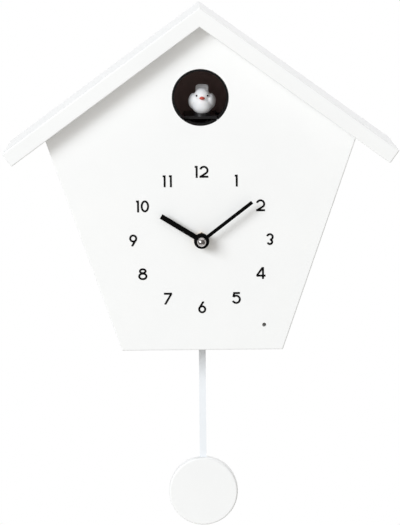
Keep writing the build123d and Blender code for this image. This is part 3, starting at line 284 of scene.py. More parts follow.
def back_board(look):
    """White-faced hardboard whose cut edges show brown fibres."""
    made = Finish()
    fibre = made.noise(0.0009, detail=4.0)
    face = made.tint(made.noise(0.03, detail=3.0), shade(look.hardboard, 0.96), look.hardboard)
    core = made.tint(fibre, shade(look.hardboard_core, 0.6), look.hardboard_core)
    facing = made.span(made.across("Y"), 0.0, 1.0, start=0.6, stop=0.8)
    made.colours(facing, core, face)
    made.gloss(made.noise(0.006, detail=3.0), smooth=0.55, rough=0.68)
    made.bump((made.noise(0.0012, detail=4.0), 0.00001))
    return made.material


def raw_wood():
    """Planed softwood: early and late wood along X."""
    made = Finish()
    late, early, pore = (0.49, 0.32, 0.18), (0.66, 0.47, 0.28), (0.36, 0.22, 0.12)
    sway = 0.03
    drift = made.noise(0.05, place=made.at(stretch=(0.25, 1, 1)))
    height = made.add("ShaderNodeSeparateXYZ", {0: made.place}).outputs["Z"]
    lift = made.add("ShaderNodeMath", {0: drift, 1: sway, 2: height}, operation="MULTIPLY_ADD").outputs[0]
    layers = made.add("ShaderNodeCombineXYZ", {"Z": lift}).outputs[0]
    rings = made.wave(0.0034, layers, axis="Z", waver=1.2)
    pores = made.noise(0.0005, detail=3.0, place=made.at(stretch=(0.05, 1, 1)))
    grain = made.tint(made.span(rings, 0.0, 1.0, start=0.0, stop=0.75), late, early)
    made.colours(made.span(pores, 0.0, 0.35), grain, pore)
    made.gloss(rings, smooth=0.55, rough=0.72)
    made.bump((rings, 0.00003), (pores, 0.00002))
    return made.material


def black_ink(look):
    """Pad-printed black with a slightly uneven film."""
    made = Finish(Specular_IOR_Level=0.08)
    made.colours(made.noise(0.0012, detail=3.0), look.ink, shade(look.ink, 1.8))
    made.gloss(made.noise(0.0008, detail=3.0), smooth=0.5, rough=0.7)
    made.bump((made.noise(0.0003), 0.000004))
    return made.material


def black_hand(look):
    """Stamped sheet hands in satin black."""
    made = Finish(Specular_IOR_Level=0.08)
    made.colours(made.noise(0.002, detail=3.0), look.hand, shade(look.hand, 1.7))
    made.gloss(made.noise(0.0009, detail=3.0), smooth=0.42, rough=0.58)
    made.bump((made.noise(0.00025), 0.000003))
    return made.material


def metal(dark, light, smooth, rough, streak=None):
    """Plated or turned metal with a mottled tone and fine marks."""
    made = Finish(Metallic=1.0)
    made.colours(made.noise(0.0035, detail=3.0), dark, light)
    place = made.at(stretch=streak) if streak else made.place
    marks = made.noise(0.0004, detail=3.0, place=place)
    made.gloss(marks, smooth, rough)
    made.bump((marks, 0.000003))
    return made.material


def plastic(tone, smooth, rough, grain=0.0006, depth=0.000006, **sockets):
    """Moulded plastic with a spark-eroded grain."""
    made = Finish(**sockets)
    made.colours(made.noise(0.01, detail=3.0), shade(tone, 0.8), shade(tone, 1.15))
    made.gloss(made.noise(0.005, detail=3.0), smooth, rough)
    made.bump((made.noise(grain), depth))
    return made.material


def copper_wire():
    """Enamelled wire wound in close turns along X, with painted shade in the grooves between turns."""
    made = Finish(Metallic=1.0, Coat_Weight=0.5, Coat_Roughness=0.15)
    turns = made.wave(0.0003, made.place, axis="X")
    # Painted shade: the colour darkens in the grooves between turns, following the same texture as the
    # relief.
    made.colours(turns, (0.32, 0.1, 0.04), (0.78, 0.33, 0.16))
    made.gloss(made.noise(0.002), smooth=0.22, rough=0.34)
    made.bump((turns, 0.00006))
    return made.material


def circuit_board():
    """Green solder mask over copper tracks."""
    made = Finish(Coat_Weight=0.3, Coat_Roughness=0.2)
    inputs = {"Vector": made.at(turn=(math.pi / 2, 0, 0)), "Scale": 180.0}
    inputs.update({"Mortar Size": 0.06, "Row Height": 0.5})
    layout = {"offset": 0.35, "squash": 1.6, "squash_frequency": 3}
    tracks = made.add("ShaderNodeTexBrick", inputs, **layout).outputs["Fac"]
    made.colours(tracks, (0.012, 0.09, 0.04), (0.05, 0.2, 0.09))
    made.gloss(made.noise(0.004), smooth=0.3, rough=0.42)
    made.bump((tracks, 0.00003))
    return made.material


def speaker_paper():
    """Pressed paper cone with round corrugations and fibres."""
    low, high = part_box("speaker_cone")
    made = Finish()
    ribs = made.wave(0.0022, made.at(centre=(low + high) / 2), kind="RINGS", axis="Y")
    fibres = made.noise(0.0005, detail=4.0)
    made.colours(fibres, (0.008, 0.008, 0.009), (0.03, 0.029, 0.028))
    made.gloss(fibres, smooth=0.75, rough=0.9)
    made.bump((ribs, 0.00015), (fibres, 0.00003))
    return made.material


def cell_jacket(look):
    """Plain foil jacket, grey at the foot and silver at the head; the middle cell stands on its head."""
    low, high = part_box("battery_cells")
    made = Finish(Metallic=0.75, Coat_Weight=0.4, Coat_Roughness=0.12)
    place = made.add("ShaderNodeSeparateXYZ", {0: made.at(centre=(low + high) / 2)}).outputs
    side = made.add("ShaderNodeMath", {0: place["X"]}, operation="ABSOLUTE").outputs[0]
    outer = made.sum("GREATER_THAN", side, (high.x - low.x) / (2 * look.cells))
    upright = made.span(outer, -1.0, 1.0, start=0.0, stop=1.0)
    band = made.span(made.sum("MULTIPLY", place["Z"], upright), 0.0, 1.0, start=-0.0002, stop=0.0002)
    foil = made.noise(0.0006, detail=3.0, place=made.at(stretch=(1, 1, 0.05)))
    grey = made.tint(foil, (0.16, 0.16, 0.17), (0.22, 0.22, 0.23))
    silver = made.tint(foil, (0.5, 0.51, 0.53), (0.68, 0.69, 0.71))
    made.colours(band, grey, silver)
    made.gloss(foil, smooth=0.22, rough=0.34)
    made.bump((foil, 0.000004))
    return made.material


def sensor_lens():
    """Smoky clear epoxy over a light cell."""
    made = Finish(Coat_Weight=1.0, Coat_Roughness=0.05)
    made.colours(made.noise(0.0006, detail=3.0), (0.45, 0.42, 0.4), (0.65, 0.62, 0.58))
    made.gloss(made.noise(0.0008), smooth=0.1, rough=0.2)
    made.bump((made.noise(0.0009), 0.000004))
    return made.material


def plumage(look):
    """Matte white moulding with a soft, slightly waxy surface."""
    made = Finish(Subsurface_Weight=0.12, Subsurface_Radius=(0.6, 0.5, 0.45), Subsurface_Scale=0.0012)
    made.colours(made.noise(0.004, detail=3.0), shade(look.plumage, 0.95), look.plumage)
    made.gloss(made.noise(0.002, detail=3.0), smooth=0.5, rough=0.62)
    made.bump((made.noise(0.0005), 0.000006))
    return made.material


def finishes(scene):
    """How the material of each slot is made."""
    case, bird = scene.clock_case, scene.clock_bird
    return {
        "white_lacquer": lambda: white_lacquer(case),
        "white_metal": lambda: white_metal(case),
        "back_board": lambda: back_board(case),
        "raw_wood": raw_wood,
        "black_ink": lambda: black_ink(case),
        "black_hand": lambda: black_hand(case),
        "chrome": lambda: metal((0.6, 0.56, 0.545), (0.7, 0.665, 0.65), smooth=0.24, rough=0.34),
        "brass": lambda: metal((0.52, 0.33, 0.13), (0.68, 0.46, 0.2), smooth=0.2, rough=0.32),
        "steel": lambda: metal(
            (0.4, 0.41, 0.42), (0.54, 0.55, 0.56), smooth=0.26, rough=0.4, streak=(0.2, 1, 1)),
        "magnet": lambda: metal((0.3, 0.3, 0.32), (0.42, 0.42, 0.44), smooth=0.2, rough=0.3),
        "black_plastic": lambda: plastic(
            (0.0065, 0.0062, 0.0062), smooth=0.38, rough=0.5, Specular_IOR_Level=0.25),
        "gloss_black": lambda: plastic(
            (0.01, 0.01, 0.011), smooth=0.3, rough=0.38, grain=0.004, depth=0.000005,
            Specular_IOR_Level=0.85),
        "gear_plastic": lambda: plastic((0.74, 0.71, 0.64), smooth=0.4, rough=0.5),
        "bird_white": lambda: plumage(bird),
        "beak_red": lambda: plastic(
            bird.bill, smooth=0.35, rough=0.45, grain=0.0005, depth=0.000004),
        "bird_eye": lambda: plastic(
            (0.008, 0.008, 0.009), smooth=0.07, rough=0.14, grain=0.001, depth=0.000002),
        "rubber": lambda: plastic((0.02, 0.02, 0.02), smooth=0.7, rough=0.85),
        "copper": copper_wire,
        "circuit_board": circuit_board,
        "speaker_paper": speaker_paper,
        "cell_jacket": lambda: cell_jacket(case),
        "sensor": sensor_lens,
        "box_brown": lambda: plastic(
            bird.lining, smooth=0.55, rough=0.7, grain=0.0012, depth=0.00001,
            Specular_IOR_Level=0.3),
    }


def finish_for(slot):
    """A slot's material, made when it is first asked for and kept by name."""
    key = "finish_" + slot
    if key not in bpy.data.materials:
        finishes(bpy.context.scene)[slot]().name = key
    return bpy.data.materials[key]


def paint(*nodes):
    """Gives CAD nodes the finish of their slot."""
    for node in nodes:
        mesh = frame["nodes"][node].data
        mesh.materials.clear()
        mesh.materials.append(finish_for(SLOT_OF_NODE[node]))


def solids_of(node):
    """Lowest and highest corners of each separate solid of a CAD node."""
    shape = bmesh.new()
    shape.from_mesh(frame["nodes"][node].data)
    bmesh.ops.remove_doubles(shape, verts=shape.verts, dist=WELD)
    waiting = set(shape.verts)
    boxes = []
    while waiting:
        group = [waiting.pop()]
        for vert in group:
            for edge in vert.link_edges:
                other = edge.other_vert(vert)
                if other in waiting:
                    waiting.discard(other)
                    group.append(other)
        low = [min(v.co[i] for v in group) for i in range(3)]
        high = [max(v.co[i] for v in group) for i in range(3)]
        boxes.append((Vector(low), Vector(high)))
    shape.free()
    return sorted(boxes, key=lambda box: tuple(round(c, SORT_DECIMALS) for c in box[0]))


def put(name, mesh, body, slot, *replaced):
    """A finished mesh as a piece on a body, standing for CAD nodes."""
    piece = bpy.data.objects.new(name, mesh)
    bpy.context.scene.collection.objects.link(piece)
    mesh.materials.clear()
    mesh.materials.append(finish_for(slot))
    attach(piece, body)
    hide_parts(*replaced)


def evaluated_mesh(piece, name):
    """The plain mesh that a piece's modifiers give; the piece itself is removed."""
    mesh = bpy.data.meshes.new_from_object(piece.evaluated_get(bpy.context.evaluated_depsgraph_get()))
    mesh.name = name
    bpy.data.objects.remove(piece)
    return mesh


def plain_mesh(name, shape):
    """A bmesh as a mesh; the bmesh is freed."""
    mesh = bpy.data.meshes.new(name)
    shape.to_mesh(mesh)
    shape.free()
    return mesh


def working_piece(name, shape):
    """A bmesh as an object in the scene."""
    piece = bpy.data.objects.new(name, plain_mesh(name, shape))
    bpy.context.scene.collection.objects.link(piece)
    return piece


class CLOCK_OT_case_boards(bpy.types.Operator):
    """Lacquer the boards of the house"""

    bl_idname = "clock.case_boards"
    bl_label = "Case boards"

    def execute(self, context):
        paint("front_panel", "left_side_board", "right_side_board", "base_board")
        paint("left_roof_board", "right_roof_board")
        return {"FINISHED"}


class CLOCK_OT_dial_work(bpy.types.Operator):
    """Finish the numerals, hands, nuts and sensor"""

    bl_idname = "clock.dial_work"
    bl_label = "Dial"

    def execute(self, context):
        paint("dial_numerals", "hour_hand", "minute_hand", "cap_nut", "fixing_nut", "light_sensor")
        return {"FINISHED"}


class CLOCK_OT_bird_house(bpy.types.Operator):
    """Finish the port, the bird's house and its carriage"""

    bl_idname = "clock.bird_house"
    bl_label = "Bird house"

    def execute(self, context):
        paint("port_sleeve", "bird_carriage", "bird_pinion", "bird_gearmotor", "bird_box")
        return {"FINISHED"}


class CLOCK_OT_bird(bpy.types.Operator):
    """Model the bird: one soft skin over body, head, wings and tail, and a pointed bill"""

    bl_idname = "clock.bird"
    bl_label = "Bird"

    # Lengths are in millimetres, and places are from the middle of the bird's foot.
    foot_behind_front = 7.5
    foot_cut = 0.02
    # Centres and radii of the body, breast, neck and head.
    lumps = (
        ((0.0, 0.9, 6.2), (7.1, 8.3, 6.9)),
        ((0.0, -1.5, 5.2), (6.2, 5.8, 5.6)),
        ((0.0, -0.4, 9.0), (6.1, 5.7, 5.0)),
        ((0.0, -2.0, 11.1), (5.1, 5.1, 5.1)),
    )
    lump_sides = 40
    lump_rings = 24
    smoothing = 0.5
    wing_place = (5.4, 1.0, 7.8)
    wing_radii = (3.3, 6.5, 5.0)
    wing_turn = math.radians(-9)
    wing_dip = math.radians(-14)
    tail_foot = (0.0, 4.4, 2.0)
    tail_half_width = 4.15
    tail_half_thickness = 1.25
    tail_length = 16.2
    tail_arch = 0.35
    tail_corner = 1.7
    tail_corner_steps = 8
    tail_lean = math.radians(-15)
    bill_root = (-6.9, 10.0)
    bill_half = (1.85, 1.2)
    bill_sides = 16
    bill_pinch = (1.45, 1.2)
    bill_droop = 0.05
    # Distance from the root and share of the full section there, from the back to the tip.
    bill_stations = ((1.2, 0.98), (0.0, 1.0), (-0.9, 0.8), (-2.0, 0.45), (-2.8, 0.16), (-3.1, 0.03))

    def place(self, at):
        """Point of the bird in metres."""
        low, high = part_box("bird_body")
        foot = Vector(((low.x + high.x) / 2, low.y + self.foot_behind_front * MM, low.z))
        return foot + Vector(at) * MM

    def ball(self, shape, at, radii, turn=Matrix.Identity(4)):
        """Adds one rounded lump."""
        size = Matrix.Diagonal((*[r * MM for r in radii], 1.0))
        matrix = Matrix.Translation(self.place(at)) @ turn @ size
        sides, rings = self.lump_sides, self.lump_rings
        bmesh.ops.create_uvsphere(shape, u_segments=sides, v_segments=rings, radius=1.0, matrix=matrix)

    def tail(self, shape):
        """Adds the upright fan with rounded corners and a slightly arched end."""
        wide, long, corner = self.tail_half_width, self.tail_length, self.tail_corner
        outline = [(wide, 0.0)]
        for index in range(self.tail_corner_steps + 1):
            turn = math.pi / 2 * index / self.tail_corner_steps
            outline.append((wide - corner * (1 - math.cos(turn)), long - corner * (1 - math.sin(turn))))
        outline.append((0.0, long + self.tail_arch))
        outline += [(-x, z) for x, z in reversed(outline[:-1])]
        matrix = Matrix.Translation(self.place(self.tail_foot)) @ Matrix.Rotation(self.tail_lean, 4, "X")
        sides = []
        for y in (-self.tail_half_thickness, self.tail_half_thickness):
            sides.append([shape.verts.new(matrix @ (Vector((x, y, z)) * MM)) for x, z in outline])
        front, back = sides
        faces = [shape.faces.new(front), shape.faces.new(reversed(back))]
        for index in range(len(outline)):
            following = (index + 1) % len(outline)
            faces.append(shape.faces.new((front[following], front[index], back[index], back[following])))
        bmesh.ops.recalc_face_normals(shape, faces=faces)

    def skin(self, look):
        """One closed and smoothed skin over all the lumps."""
        shape = bmesh.new()
        for at, radii in self.lumps:
            self.ball(shape, at, radii)
        across, along, up = self.wing_place
        dip = Matrix.Rotation(self.wing_dip, 4, "X")
        for side in (-1, 1):
            turn = Matrix.Rotation(side * self.wing_turn, 4, "Z") @ dip
            self.ball(shape, (side * across, along, up), self.wing_radii, turn)
        self.tail(shape)
        piece = working_piece("bird_lumps", shape)
        skin = piece.modifiers.new("Skin", "REMESH")
        skin.mode = "VOXEL"
        skin.voxel_size = look.skin_step
        soft = piece.modifiers.new("Soften", "SMOOTH")
        soft.factor = self.smoothing
        soft.iterations = look.soften
        return evaluated_mesh(piece, "bird_skin")

    def stand(self, mesh):
        """Cuts the skin flat at the foot and closes it."""
        shape = bmesh.new()
        shape.from_mesh(mesh)
        everything = shape.verts[:] + shape.edges[:] + shape.faces[:]
        foot = self.place((0, 0, self.foot_cut))
        bmesh.ops.bisect_plane(shape, geom=everything, plane_co=foot, plane_no=(0, 0, -1), clear_outer=True)
        rim = [edge for edge in shape.edges if edge.is_boundary]
        bmesh.ops.holes_fill(shape, edges=rim)
        bmesh.ops.recalc_face_normals(shape, faces=shape.faces)
        shape.to_mesh(mesh)
        shape.free()
        mesh.shade_smooth()

    def pinched(self, share, exponent):
        """A sine or cosine drawn in, so that a round section becomes a lozenge."""
        return math.copysign(abs(share) ** exponent, share)

    def bill(self):
        """Pointed bill of a flattened lozenge section, its root inside the head."""
        shape = bmesh.new()
        root_y, root_z = self.bill_root
        wide, tall = self.bill_half
        pinch_wide, pinch_tall = self.bill_pinch
        rings = []
        for y, share in self.bill_stations:
            droop = -self.bill_droop * (1.0 - share)
            ring = []
            for index in range(self.bill_sides):
                turn = 2 * math.pi * index / self.bill_sides
                x = self.pinched(math.cos(turn), pinch_wide) * wide * share
                z = self.pinched(math.sin(turn), pinch_tall) * tall * share
                ring.append(shape.verts.new(self.place((x, root_y + y, root_z + z + droop))))
            rings.append(ring)
        for back, front in zip(rings, rings[1:]):
            for index in range(self.bill_sides):
                following = (index + 1) % self.bill_sides
                shape.faces.new((back[index], back[following], front[following], front[index]))
        shape.faces.new(rings[0])
        shape.faces.new(rings[-1])
        bmesh.ops.recalc_face_normals(shape, faces=shape.faces)
        mesh = plain_mesh("bird_bill", shape)
        mesh.shade_smooth()
        return mesh

    def execute(self, context):
        skin = self.skin(context.scene.clock_bird)
        self.stand(skin)
        put("bird_figure", skin, "bird", "bird_white", "bird_body")
        put("bird_bill", self.bill(), "bird", "beak_red", "bird_beak")
        paint("bird_eyes")
        return {"FINISHED"}


class CLOCK_OT_pendulum(bpy.types.Operator):
    """Finish the pendulum's arm, rod, bob and magnet"""

    bl_idname = "clock.pendulum"
    bl_label = "Pendulum"

    def execute(self, context):
        paint("pendulum_arm", "pendulum_magnet", "pendulum_rod", "pendulum_bob")
        paint("pendulum_pin", "pendulum_coil")
        return {"FINISHED"}


class CLOCK_OT_back_work(bpy.types.Operator):
    """Finish the back board, hanger and controls"""

    bl_idname = "clock.back_work"
    bl_label = "Back"

    def execute(self, context):
        paint("back_panel", "back_panel_cleats", "hanger_block", "hanger_plate")
        paint("setting_knob", "volume_knob", "test_button")
        paint("battery_door", "battery_tray", "battery_contacts", "battery_cells")
        paint("speaker_frame", "speaker_cone", "main_board", "board_standoffs")
        return {"FINISHED"}


class CLOCK_OT_movement(bpy.types.Operator):
    """Finish the clock movement inside the case"""

    bl_idname = "clock.movement"
    bl_label = "Movement"

    def execute(self, context):
        paint("movement_front_shell", "movement_rear_cover", "rubber_gasket", "threaded_bush")
        paint("hour_wheel", "minute_arbor", "friction_washer")
        paint("centre_wheel", "third_wheel", "seconds_wheel", "idler_wheel")
        paint("motor_rotor", "motor_stator", "motor_coil", "clock_board", "motion_wheel")
        return {"FINISHED"}


class ScrewTree(Nodes):
    """Node tree that sets a cross-recessed screw on every point, each turned by chance."""

    sizes = ("Head Radius", "Head Height", "Dome", "Shank Radius", "Shank Length", "Recess Reach",
             "Recess Width", "Recess Depth")
    head_sides = 32
    head_steps = 2
    head_rings = 6
    shank_sides = 20
    # Points above this share of the head's height belong to its top.
    top_share = 0.75
    # Just under half of its length, so that the shank starts a hair inside the head.
    shank_drop = 0.4999

    def __init__(self, material, seed):
        super().__init__(bpy.data.node_groups.new("screws_on_points", "GeometryNodeTree"))
        face = self.tree.interface
        face.new_socket("Geometry", in_out="INPUT", socket_type="NodeSocketGeometry")
        self.identifiers = {}
        for name in self.sizes:
            made = face.new_socket(name, in_out="INPUT", socket_type="NodeSocketFloat")
            self.identifiers[name] = made.identifier
        face.new_socket("Geometry", in_out="OUTPUT", socket_type="NodeSocketGeometry")
        self.given = self.tree.nodes.new("NodeGroupInput").outputs
        self.build(material, seed)

    def raised(self, geometry, height):
        """Moves geometry along the screw's axis."""
        offset = self.add("ShaderNodeCombineXYZ", {"Z": height}).outputs[0]
        return self.add("GeometryNodeTransform", {"Geometry": geometry, "Translation": offset}).outputs[0]

    def head(self):
        """Disc with a crowned top."""
        given = self.given
        inputs = {"Vertices": self.head_sides, "Side Segments": self.head_steps}
        inputs.update({"Fill Segments": self.head_rings, "Radius": given["Head Radius"]})
        inputs["Depth"] = given["Head Height"]
        disc = self.add("GeometryNodeMeshCylinder", inputs).outputs["Mesh"]
        disc = self.raised(disc, self.sum("MULTIPLY", given["Head Height"], 0.5))
        position = self.add("GeometryNodeInputPosition", {}).outputs[0]
        place = self.add("ShaderNodeSeparateXYZ", {0: position}).outputs
        across = self.sum("MULTIPLY", place["X"], place["X"])
        along = self.sum("MULTIPLY", place["Y"], place["Y"])
        full = self.sum("MULTIPLY", given["Head Radius"], given["Head Radius"])
        share = self.sum("DIVIDE", self.sum("ADD", along, across), full)
        top = self.sum("GREATER_THAN", place["Z"], self.sum("MULTIPLY", given["Head Height"], self.top_share))
        lift = self.sum("MULTIPLY", self.sum("SUBTRACT", 0.0, share), given["Dome"])
        offset = self.add("ShaderNodeCombineXYZ", {"Z": self.sum("MULTIPLY", lift, top)}).outputs[0]
        return self.add("GeometryNodeSetPosition", {"Geometry": disc, "Offset": offset}).outputs[0]

    def recess(self):
        """Two crossed bars that cut the head."""
        given = self.given
        reach = self.sum("MULTIPLY", self.sum("MULTIPLY", given["Head Radius"], 2.0), given["Recess Reach"])
        deep = self.sum("MULTIPLY", given["Recess Depth"], 2.0)
        bars = []
        for first, second in ((reach, given["Recess Width"]), (given["Recess Width"], reach)):
            size = self.add("ShaderNodeCombineXYZ", {"X": first, "Y": second, "Z": deep}).outputs[0]
            bars.append(self.add("GeometryNodeMeshCube", {"Size": size}).outputs["Mesh"])
        cross = self.add("GeometryNodeMeshBoolean", {}, operation="UNION", solver="EXACT")
        for bar in bars:
            self.tree.links.new(bar, cross.inputs["Mesh 2"])
        return self.raised(cross.outputs["Mesh"], given["Head Height"])

    def build(self, material, seed):
        """Joins head and shank, and sets them on the points with a random turn."""
        given = self.given
        cut = self.add("GeometryNodeMeshBoolean", {"Mesh 1": self.head(), "Mesh 2": self.recess()},
                       operation="DIFFERENCE", solver="EXACT").outputs["Mesh"]
        inputs = {"Vertices": self.shank_sides, "Radius": given["Shank Radius"]}
        inputs["Depth"] = given["Shank Length"]
        shank = self.add("GeometryNodeMeshCylinder", inputs).outputs["Mesh"]
        shank = self.raised(shank, self.sum("MULTIPLY", given["Shank Length"], -self.shank_drop))
        whole = self.add("GeometryNodeJoinGeometry", {})
        self.tree.links.new(cut, whole.inputs[0])
        self.tree.links.new(shank, whole.inputs[0])
        inputs = {"Seed": seed, "Min": 0.0, "Max": math.pi}
        turn = self.add("FunctionNodeRandomValue", inputs, data_type="FLOAT").outputs["Value"]
        spin = self.add("ShaderNodeCombineXYZ", {"X": -math.pi / 2, "Y": turn}).outputs[0]
        inputs = {"Points": given["Geometry"], "Instance": whole.outputs[0], "Rotation": spin}
        copies = self.add("GeometryNodeInstanceOnPoints", inputs).outputs[0]
        real = self.add("GeometryNodeRealizeInstances", {"Geometry": copies}).outputs[0]
        done = self.add("GeometryNodeSetMaterial", {"Geometry": real, "Material": material}).outputs[0]
        self.tree.links.new(done, self.tree.nodes.new("NodeGroupOutput").inputs[0])


class CLOCK_OT_screws(bpy.types.Operator):
    """Set cross-recessed screws in the back board, the hanger plate and the bird's house"""

    bl_idname = "clock.screws"
    bl_label = "Screws"

    pan_height = 1.6 * MM
    flat_height = 1.0 * MM
    shank_radius = 1.5 * MM
    thin_shank_radius = 1.3 * MM

    def screws(self, tree, name, node, look, head_height, dome, shank_radius):
        """One piece with a screw in the place of each solid of a CAD node."""
        boxes = solids_of(node)
        low, high = boxes[0]
        sizes = {
            "Head Radius": (high.x - low.x) / 2,
            "Head Height": head_height,
            "Dome": dome,
            "Shank Radius": shank_radius,
            "Shank Length": high.y - low.y - head_height,
            "Recess Reach": look.recess_reach,
            "Recess Width": look.recess_width,
            "Recess Depth": look.recess_depth,
        }
        shape = bmesh.new()
        for low, high in boxes:
            shape.verts.new(((low.x + high.x) / 2, high.y - head_height, (low.z + high.z) / 2))
        piece = working_piece(name + "_points", shape)
        modifier = piece.modifiers.new("Screws", "NODES")
        modifier.node_group = tree.tree
        for size, value in sizes.items():
            modifier[tree.identifiers[size]] = value
        mesh = evaluated_mesh(piece, name)
        mesh.shade_smooth()
        mesh.set_sharp_from_angle(angle=SHARP_ANGLE)
        put(name, mesh, "case", "steel", node)

    def execute(self, context):
        look = context.scene.clock_screws
        tree = ScrewTree(finish_for("steel"), look.seed)
        pan, flat = self.pan_height, self.flat_height
        shank, thin = self.shank_radius, self.thin_shank_radius
        self.screws(tree, "back_board_screws", "back_panel_screws", look, pan, look.dome, shank)
        self.screws(tree, "hanger_plate_screws", "hanger_screws", look, flat, 0.0, shank)
        self.screws(tree, "bird_house_screws", "bird_box_screws", look, pan, look.dome, thin)
        return {"FINISHED"}


class CLOCK_OT_stage(bpy.types.Operator):
    """Set up the camera, the light and the floor"""

    bl_idname = "clock.stage"
    bl_label = "Stage"

    curtain_rows = 6
    curtain_columns = 24
    floor_sides = 96

    def camera(self, look):
        """Camera at the height, turn and lean of the photograph."""
        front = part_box("front_panel")[0].y
        target = Vector((look.aim_side, front, look.aim_height))
        turn, rise = look.turn, look.rise
        back = Vector((math.sin(turn) * math.cos(rise), -math.cos(turn) * math.cos(rise), math.sin(rise)))
        right = Vector((math.cos(turn), math.sin(turn), 0.0))
        up = back.cross(right)
        leaning_right = right * math.cos(look.roll) + up * math.sin(look.roll)
        leaning_up = up * math.cos(look.roll) - right * math.sin(look.roll)
        data = bpy.data.cameras.new("camera")
        data.lens = look.lens
        data.sensor_width = 36.0
        data.clip_end = 50.0
        camera = bpy.data.objects.new("camera", data)
        axes = Matrix((leaning_right, leaning_up, back)).transposed().to_4x4()
        camera.matrix_world = Matrix.Translation(target + back * look.distance) @ axes
        bpy.context.scene.collection.objects.link(camera)
        bpy.context.scene.camera = camera

    def toward(self, turn, rise):
        """Direction to the left of straight ahead and above the horizon."""
        return Vector((-math.sin(turn) * math.cos(rise), -math.cos(turn) * math.cos(rise), math.sin(rise)))

    def soft_light(self, name, power, tint, size, direction, distance):
        """Square light that looks at the dial."""
        data = bpy.data.lights.new(name, "AREA")
        data.energy = power
        data.color = tint
        data.size = size
        light = bpy.data.objects.new(name, data)
        low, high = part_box("fixing_nut")
        light.location = (low + high) / 2 + direction * distance
        light.rotation_mode = "QUATERNION"
        light.rotation_quaternion = (-direction).to_track_quat("-Z", "Y")
        light.visible_camera = False
        bpy.context.scene.collection.objects.link(light)

    def sky(self, look):
        """White to look at and in reflections; as light, brighter ahead and behind."""
        world = bpy.data.worlds.new("studio")
        world.use_nodes = True
        nodes = Nodes(world.node_tree)
        path = nodes.add("ShaderNodeLightPath", {}).outputs
        seen = nodes.sum("MAXIMUM", path["Is Camera Ray"], path["Is Glossy Ray"])
        seen = nodes.sum("MAXIMUM", seen, path["Is Transmission Ray"])
        toward = nodes.add("ShaderNodeTexCoord", {}).outputs["Generated"]
        toward = nodes.add("ShaderNodeSeparateXYZ", {0: toward}).outputs
        ahead = nodes.sum("MULTIPLY", toward["Y"], toward["Y"])
        level = nodes.span(ahead, look.sky_side, look.sky_side + look.sky_front, start=0.0, stop=1.0)
        height = nodes.span(toward["Z"], 0.0, 1.0, start=-1.0, stop=1.0)
        tint = nodes.tint(height, look.sky_below, look.sky_above)
        background = world.node_tree.nodes["Background"].inputs
        nodes.feed(background["Color"], nodes.tint(seen, tint, (1.0, 1.0, 1.0)))
        strength = nodes.add("ShaderNodeMix", {0: seen, 2: level, 3: 1.0}, data_type="FLOAT").outputs[0]
        nodes.feed(background["Strength"], strength)
        bpy.context.scene.world = world

    def curtain(self, look):
        """Grey curtain round the front of the room that only reflections see."""
        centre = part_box("fixing_nut")[0]
        shape = bmesh.new()
        turns = []
        for column in range(self.curtain_columns + 1):
            turns.append(look.curtain_half * (2 * column / self.curtain_columns - 1))
        rows = []
        for step in range(self.curtain_rows + 1):
            rise = -look.curtain_low + (look.curtain_low + look.curtain_high) * step / self.curtain_rows
            points = [centre + self.toward(turn, rise) * look.curtain_distance for turn in turns]
            rows.append([shape.verts.new(point) for point in points])
        for below, above in zip(rows, rows[1:]):
            for side in range(self.curtain_columns):
                shape.faces.new((below[side], below[side + 1], above[side + 1], above[side]))
        curtain = working_piece("curtain", shape)
        curtain.visible_camera = False
        curtain.visible_diffuse = False
        curtain.visible_shadow = False
        curtain.visible_transmission = False
        made = Finish("curtain_cloth", Roughness=0.9)
        made.colours(made.noise(0.5), shade(look.curtain, 0.6), shade(look.curtain, 1.4))
        curtain.data.materials.append(made.material)

    def floor(self, look):
        """Round pale floor well below the clock."""
        shape = bmesh.new()
        bmesh.ops.create_circle(shape, cap_ends=True, segments=self.floor_sides, radius=look.floor_radius)
        floor = working_piece("floor", shape)
        floor.location.z = -look.floor_drop
        made = Finish("pale_floor")
        made.colours(made.noise(0.4, detail=4.0), shade(look.floor, 0.97), look.floor)
        made.gloss(made.noise(0.05), smooth=0.7, rough=0.85)
        floor.data.materials.append(made.material)

    def execute(self, context):
        look = context.scene.clock_stage
        context.scene.view_settings.view_transform = "Standard"
        self.camera(look)
        distance = look.light_distance
        toward = self.toward(look.key_turn, look.key_rise)
        self.soft_light("key", look.key_power, look.key_tint, look.key_size, toward, distance)
        toward = self.toward(look.top_turn, look.top_rise)
        self.soft_light("top", look.top_power, look.sky_above, look.top_size, toward, distance)
        self.sky(look)
        self.curtain(look)
        self.floor(look)
        return {"FINISHED"}


class CLOCK_PT_sidebar(bpy.types.Panel):
    """Settings and steps of the clock"""

    bl_idname = "CLOCK_PT_sidebar"
    bl_label = "Cuckoo clock"
    bl_space_type = "VIEW_3D"
    bl_region_type = "UI"
    bl_category = "Clock"

    def draw(self, context):
        for name, group in GROUPS.items():
            box = self.layout.box()
            for setting in group.__annotations__:
                box.prop(getattr(context.scene, name), setting)
        for step in STEPS:
            self.layout.operator(step.bl_idname)


GROUPS = {
    "clock_case": ClockCaseLook,
    "clock_bird": ClockBirdLook,
    "clock_screws": ClockScrewLook,
    "clock_stage": ClockStageLook,
}
STEPS = (
    CLOCK_OT_case_boards,
    CLOCK_OT_dial_work,
    CLOCK_OT_bird_house,
    CLOCK_OT_bird,
    CLOCK_OT_pendulum,
    CLOCK_OT_back_work,
    CLOCK_OT_movement,
    CLOCK_OT_screws,
    CLOCK_OT_stage,
)


def register():
    for group in GROUPS.values():
        bpy.utils.register_class(group)
    for name, group in GROUPS.items():
        setattr(bpy.types.Scene, name, PointerProperty(type=group))
    for step in STEPS:
        bpy.utils.register_class(step)
    bpy.utils.register_class(CLOCK_PT_sidebar)


def unregister():
    bpy.utils.unregister_class(CLOCK_PT_sidebar)
    for step in reversed(STEPS):
        bpy.utils.unregister_class(step)
    for name, group in GROUPS.items():
        delattr(bpy.types.Scene, name)
        bpy.utils.unregister_class(group)


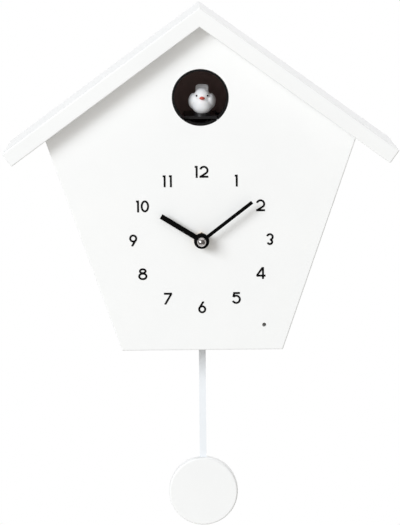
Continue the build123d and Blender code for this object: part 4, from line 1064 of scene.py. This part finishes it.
def main():
    register()
    bpy.ops.clock.case_boards()
    bpy.ops.clock.dial_work()
    bpy.ops.clock.bird_house()
    bpy.ops.clock.bird()
    bpy.ops.clock.pendulum()
    bpy.ops.clock.back_work()
    bpy.ops.clock.movement()
    bpy.ops.clock.screws()
    bpy.ops.clock.stage()


if __name__ == "__main__":
    main()
